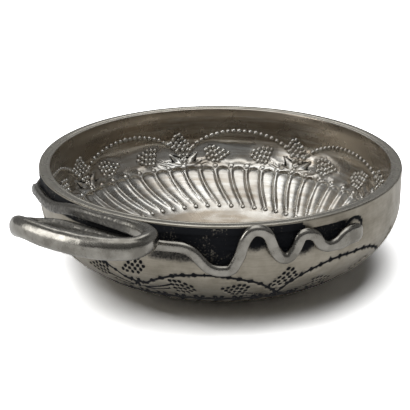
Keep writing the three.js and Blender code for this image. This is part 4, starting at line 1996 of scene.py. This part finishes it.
@dataclass
class Studio:
    """Pale floor, white surround, one soft lamp overhead, cards round the metal and the camera.

    Attributes:
        rim_height: Height of the rim, which the camera looks at.
        camera_azimuth: Degrees of the camera's stand, from +X.
        camera_elevation: Degrees of the camera over the rim.
        camera_distance: From the camera to the middle of the rim.
        lens: Focal length on a 36 mm wide sensor.
        aim: How far right and up of the middle of the rim the camera aims.
        nearest: Distance from which the camera sees.
        floor_size: Width of the floor.
        lamp_place: Where the soft lamp hangs.
        lamp_size: Width of the lamp.
        lamp_power: Power of the lamp in watts.
        fill: Strength of the surround's light on the floor.
        sky: Brightness of the surround to the eye and in reflections.
        flags: The cards.
        paper: Brightness of the floor to the lamp's light, in reflections and to the eye.
    """

    rim_height: float
    camera_azimuth: float = 303.0
    camera_elevation: float = 19.3
    camera_distance: float = 294.0
    lens: float = 110.7
    aim: Pair = (-3.5, -11.0)
    nearest: float = 10.0
    floor_size: float = 6000.0
    lamp_place: Triple = (-75.0, -712.0, 2400.0)
    lamp_size: float = 2600.0
    lamp_power: float = 56.0
    fill: float = 0.012
    sky: float = 1.8
    flags: tuple[Flag, ...] = (
        Flag((213.0, 393.0), (0.0, 14.0), 0.06),
        Flag((213.0, 393.0), (14.0, 48.0), 0.22),
        Flag((213.0, 393.0), (48.0, 58.0), 0.5),
        Flag((33.0, 213.0), (0.0, 36.0), 0.25),
        Flag((33.0, 100.0), (36.0, 75.0), 0.13),
        Flag((158.0, 213.0), (36.0, 62.0), 0.22),
        Flag((223.0, 247.0), (8.0, 42.0), 4.0, 200.0),
    )
    paper: Triple = (0.75, 1.38, 3.9)

    def add_camera(self) -> None:
        """Adds the camera at the photograph's angle."""
        azimuth, elevation = math.radians(self.camera_azimuth), math.radians(self.camera_elevation)
        level = Vector((math.cos(azimuth), math.sin(azimuth), 0.0))
        outward = level * math.cos(elevation) + Vector((0.0, 0.0, math.sin(elevation)))
        right = Vector((-math.sin(azimuth), math.cos(azimuth), 0.0))
        up = outward.cross(right)
        middle = Vector((0.0, 0.0, self.rim_height))
        stand = middle + outward * self.camera_distance
        target = middle + right * self.aim[0] + up * self.aim[1]
        data = bpy.data.cameras.new("camera")
        data.lens = self.lens
        data.clip_start = self.nearest * MM
        camera = bpy.data.objects.new("camera", data)
        camera.location = stand * MM
        camera.rotation_euler = (target - stand).to_track_quat("-Z", "Y").to_euler()
        bpy.context.scene.collection.objects.link(camera)
        bpy.context.scene.camera = camera

    def add_lamp(self) -> None:
        """Adds the soft lamp, which points at the bowl and isn't seen in the metal."""
        data = bpy.data.lights.new("overhead", "AREA")
        data.size = self.lamp_size * MM
        data.energy = self.lamp_power
        lamp = bpy.data.objects.new("overhead", data)
        lamp.location = Vector(self.lamp_place) * MM
        lamp.rotation_euler = (-Vector(self.lamp_place)).to_track_quat("-Z", "Y").to_euler()
        lamp.visible_glossy = False
        bpy.context.scene.collection.objects.link(lamp)

    def reflected(self, tree: Tree) -> Socket:
        """Finds the rays that reflections or clear pieces send, straight from the eye.

        Args:
            tree: Node tree of the surround or of the floor.

        Returns:
            1 for glossy and transmission rays that no matt surface has scattered, and 0 for the rest.
        """
        rays = add_node(tree, "LightPath").node.outputs
        bent = {0: rays["Is Glossy Ray"], 1: rays["Is Transmission Ray"]}
        bent = add_node(tree, "Math", bent, operation="MAXIMUM")
        unscattered = {0: bent, 1: rays["Diffuse Depth"]}
        return add_node(tree, "Math", unscattered, operation="SUBTRACT", use_clamp=True)

    def add_world(self) -> None:
        """Adds a surround that is white to the eye and in reflections, and a soft fill elsewhere."""
        world = bpy.data.worlds.new("surround")
        bpy.context.scene.world = world
        world.use_nodes = True
        tree = world.node_tree
        tree.nodes.clear()
        direct = add_node(tree, "LightPath", output="Is Camera Ray")
        seen = add_node(tree, "Math", {0: direct, 1: self.reflected(tree)}, operation="MAXIMUM")
        strength = add_node(tree, "MapRange", {"Value": seen, "To Min": self.fill, "To Max": self.sky})
        shine = add_node(tree, "Background", {"Color": (1.0, 1.0, 1.0, 1.0), "Strength": strength})
        add_node(tree, "OutputWorld", {"Surface": shine})

    def add_stage(self, name: str, mesh_data: Mesh) -> tuple[Thing, Tree]:
        """Makes a mesh in millimetres a part of the stage, with an empty node material.

        Args:
            name: Name of the object and its material.
            mesh_data: The mesh, which is freed.

        Returns:
            The object and its material's node tree.
        """
        material = blank_material(name)
        thing = to_object(mesh_data, name, [material])
        return thing, material.node_tree

    def add_floor(self) -> None:
        """Adds the pale floor, which is white to the eye where nothing shades it."""
        mesh_data = bmesh.new()
        bmesh.ops.create_grid(mesh_data, x_segments=1, y_segments=1, size=self.floor_size / 2.0)
        tree = self.add_stage("pale_paper", mesh_data)[1]
        lit, mirrored, shown = self.paper
        levels = {"Value": self.reflected(tree), "To Min": lit, "To Max": mirrored}
        unseen = add_node(tree, "MapRange", levels)
        direct = add_node(tree, "LightPath", output="Is Camera Ray")
        levels = {"Factor": direct, "A": unseen, "B": (shown, shown, shown, 1.0)}
        colour = add_node(tree, "Mix", levels, data_type="RGBA")
        paper = add_node(tree, "BsdfDiffuse", {"Color": colour})
        add_node(tree, "OutputMaterial", {"Surface": paper})

    def add_flag(self, flag: Flag) -> None:
        """Adds a card as stands round polished metal, which only reflections see.

        Args:
            flag: The card.
        """
        rows, columns = flag.facets
        rises = np.radians(np.linspace(*flag.elevations, rows + 1))
        start, end = np.radians(flag.azimuths)
        out, height = flag.distance * np.cos(rises), flag.distance * np.sin(rises) + flag.clearance
        places = np.stack([out * math.cos(start), out * math.sin(start), height], axis=-1)
        card, tree = self.add_stage("studio_card", spin_section(places, columns, angle=end - start))
        shine = (flag.shine, flag.shine, flag.shine, 1.0)
        glow = add_node(tree, "Emission", {"Color": shine, "Strength": 1.0})
        add_node(tree, "OutputMaterial", {"Surface": glow})
        for ray in ("camera", "diffuse", "shadow", "transmission"):
            setattr(card, f"visible_{ray}", False)

    def build(self) -> None:
        """Sets up the studio."""
        bpy.context.scene.view_settings.view_transform = "Standard"
        self.add_camera()
        self.add_world()
        self.add_floor()
        for flag in self.flags:
            self.add_flag(flag)
        self.add_lamp()


def main() -> None:
    """Builds every piece in order and reports it."""
    logging.basicConfig(level=logging.INFO, format="%(name)s: %(message)s")
    lip_low, lip_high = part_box("rim_wire")
    rim_radius = (lip_high.x - lip_low.x) / 2.0 / MM
    bowl_height = lip_high.z / MM
    profile = SheetProfile(rim_radius, bowl_height, bowl_height - LipWire.height)
    gadroons = {
        Skin.OUTSIDE: Gadroons(
            profile, first_turn=3.7, tip_radius=35.6, foot_radius=25.2, ridge=(0.5, 0.95), depth=0.45,
            border=(1.05, 1.3), hollow=0.25, tip_depth=0.45, tip_length=3.6,
        ),
        Skin.INSIDE: Gadroons(
            profile, first_turn=6.1, tip_radius=38.4, foot_radius=27.0, ridge=(0.64, 1.0), depth=0.85,
            border=(1.05, 2.3), hollow=0.3, tip_depth=0.85, tip_length=2.0,
        ),
    }
    ornament = {
        Skin.OUTSIDE: ArchOrnament(
            profile, first_turn=6.4, junction_drop=18.6, rise=8.4, centre_lift=7.2, right_lift=2.9,
            grape=(0.37, 0.47), grape_pitch=(1.02, 1.34), bead=0.56, beads=17,
            lifts=(2.4, -0.2, 0.3, -0.4, 0.5, 0.0, -0.5, 1.0),
            sags=(1.1, 0.0, 0.3, -0.4, 0.5, 0.0, 0.4, 0.2),
        ),
        Skin.INSIDE: ArchOrnament(
            profile, first_turn=2.3, junction_drop=16.4, rise=10.0, centre_lift=7.2, right_lift=4.2,
            grape=(0.6, 0.72), grape_pitch=(1.15, 1.35), bead=0.7, beads=28,
        ),
    }
    serpent = SerpentHandle(profile)
    pockets = SerpentPockets(serpent)
    bowl = ChasedBowl(profile, gadroons, ornament, pockets)
    antiqued, polished = ANTIQUED_SILVER.material(), POLISHED_SILVER.material()
    bowl.build(antiqued, polished)
    bowl.build_beads(polished)
    LipWire(profile, pockets).build(BURNISHED_SILVER.material(), antiqued, polished)
    serpent.build(CAST_SILVER.material())
    Studio(bowl_height).build()


if __name__ == "__main__":
    main()
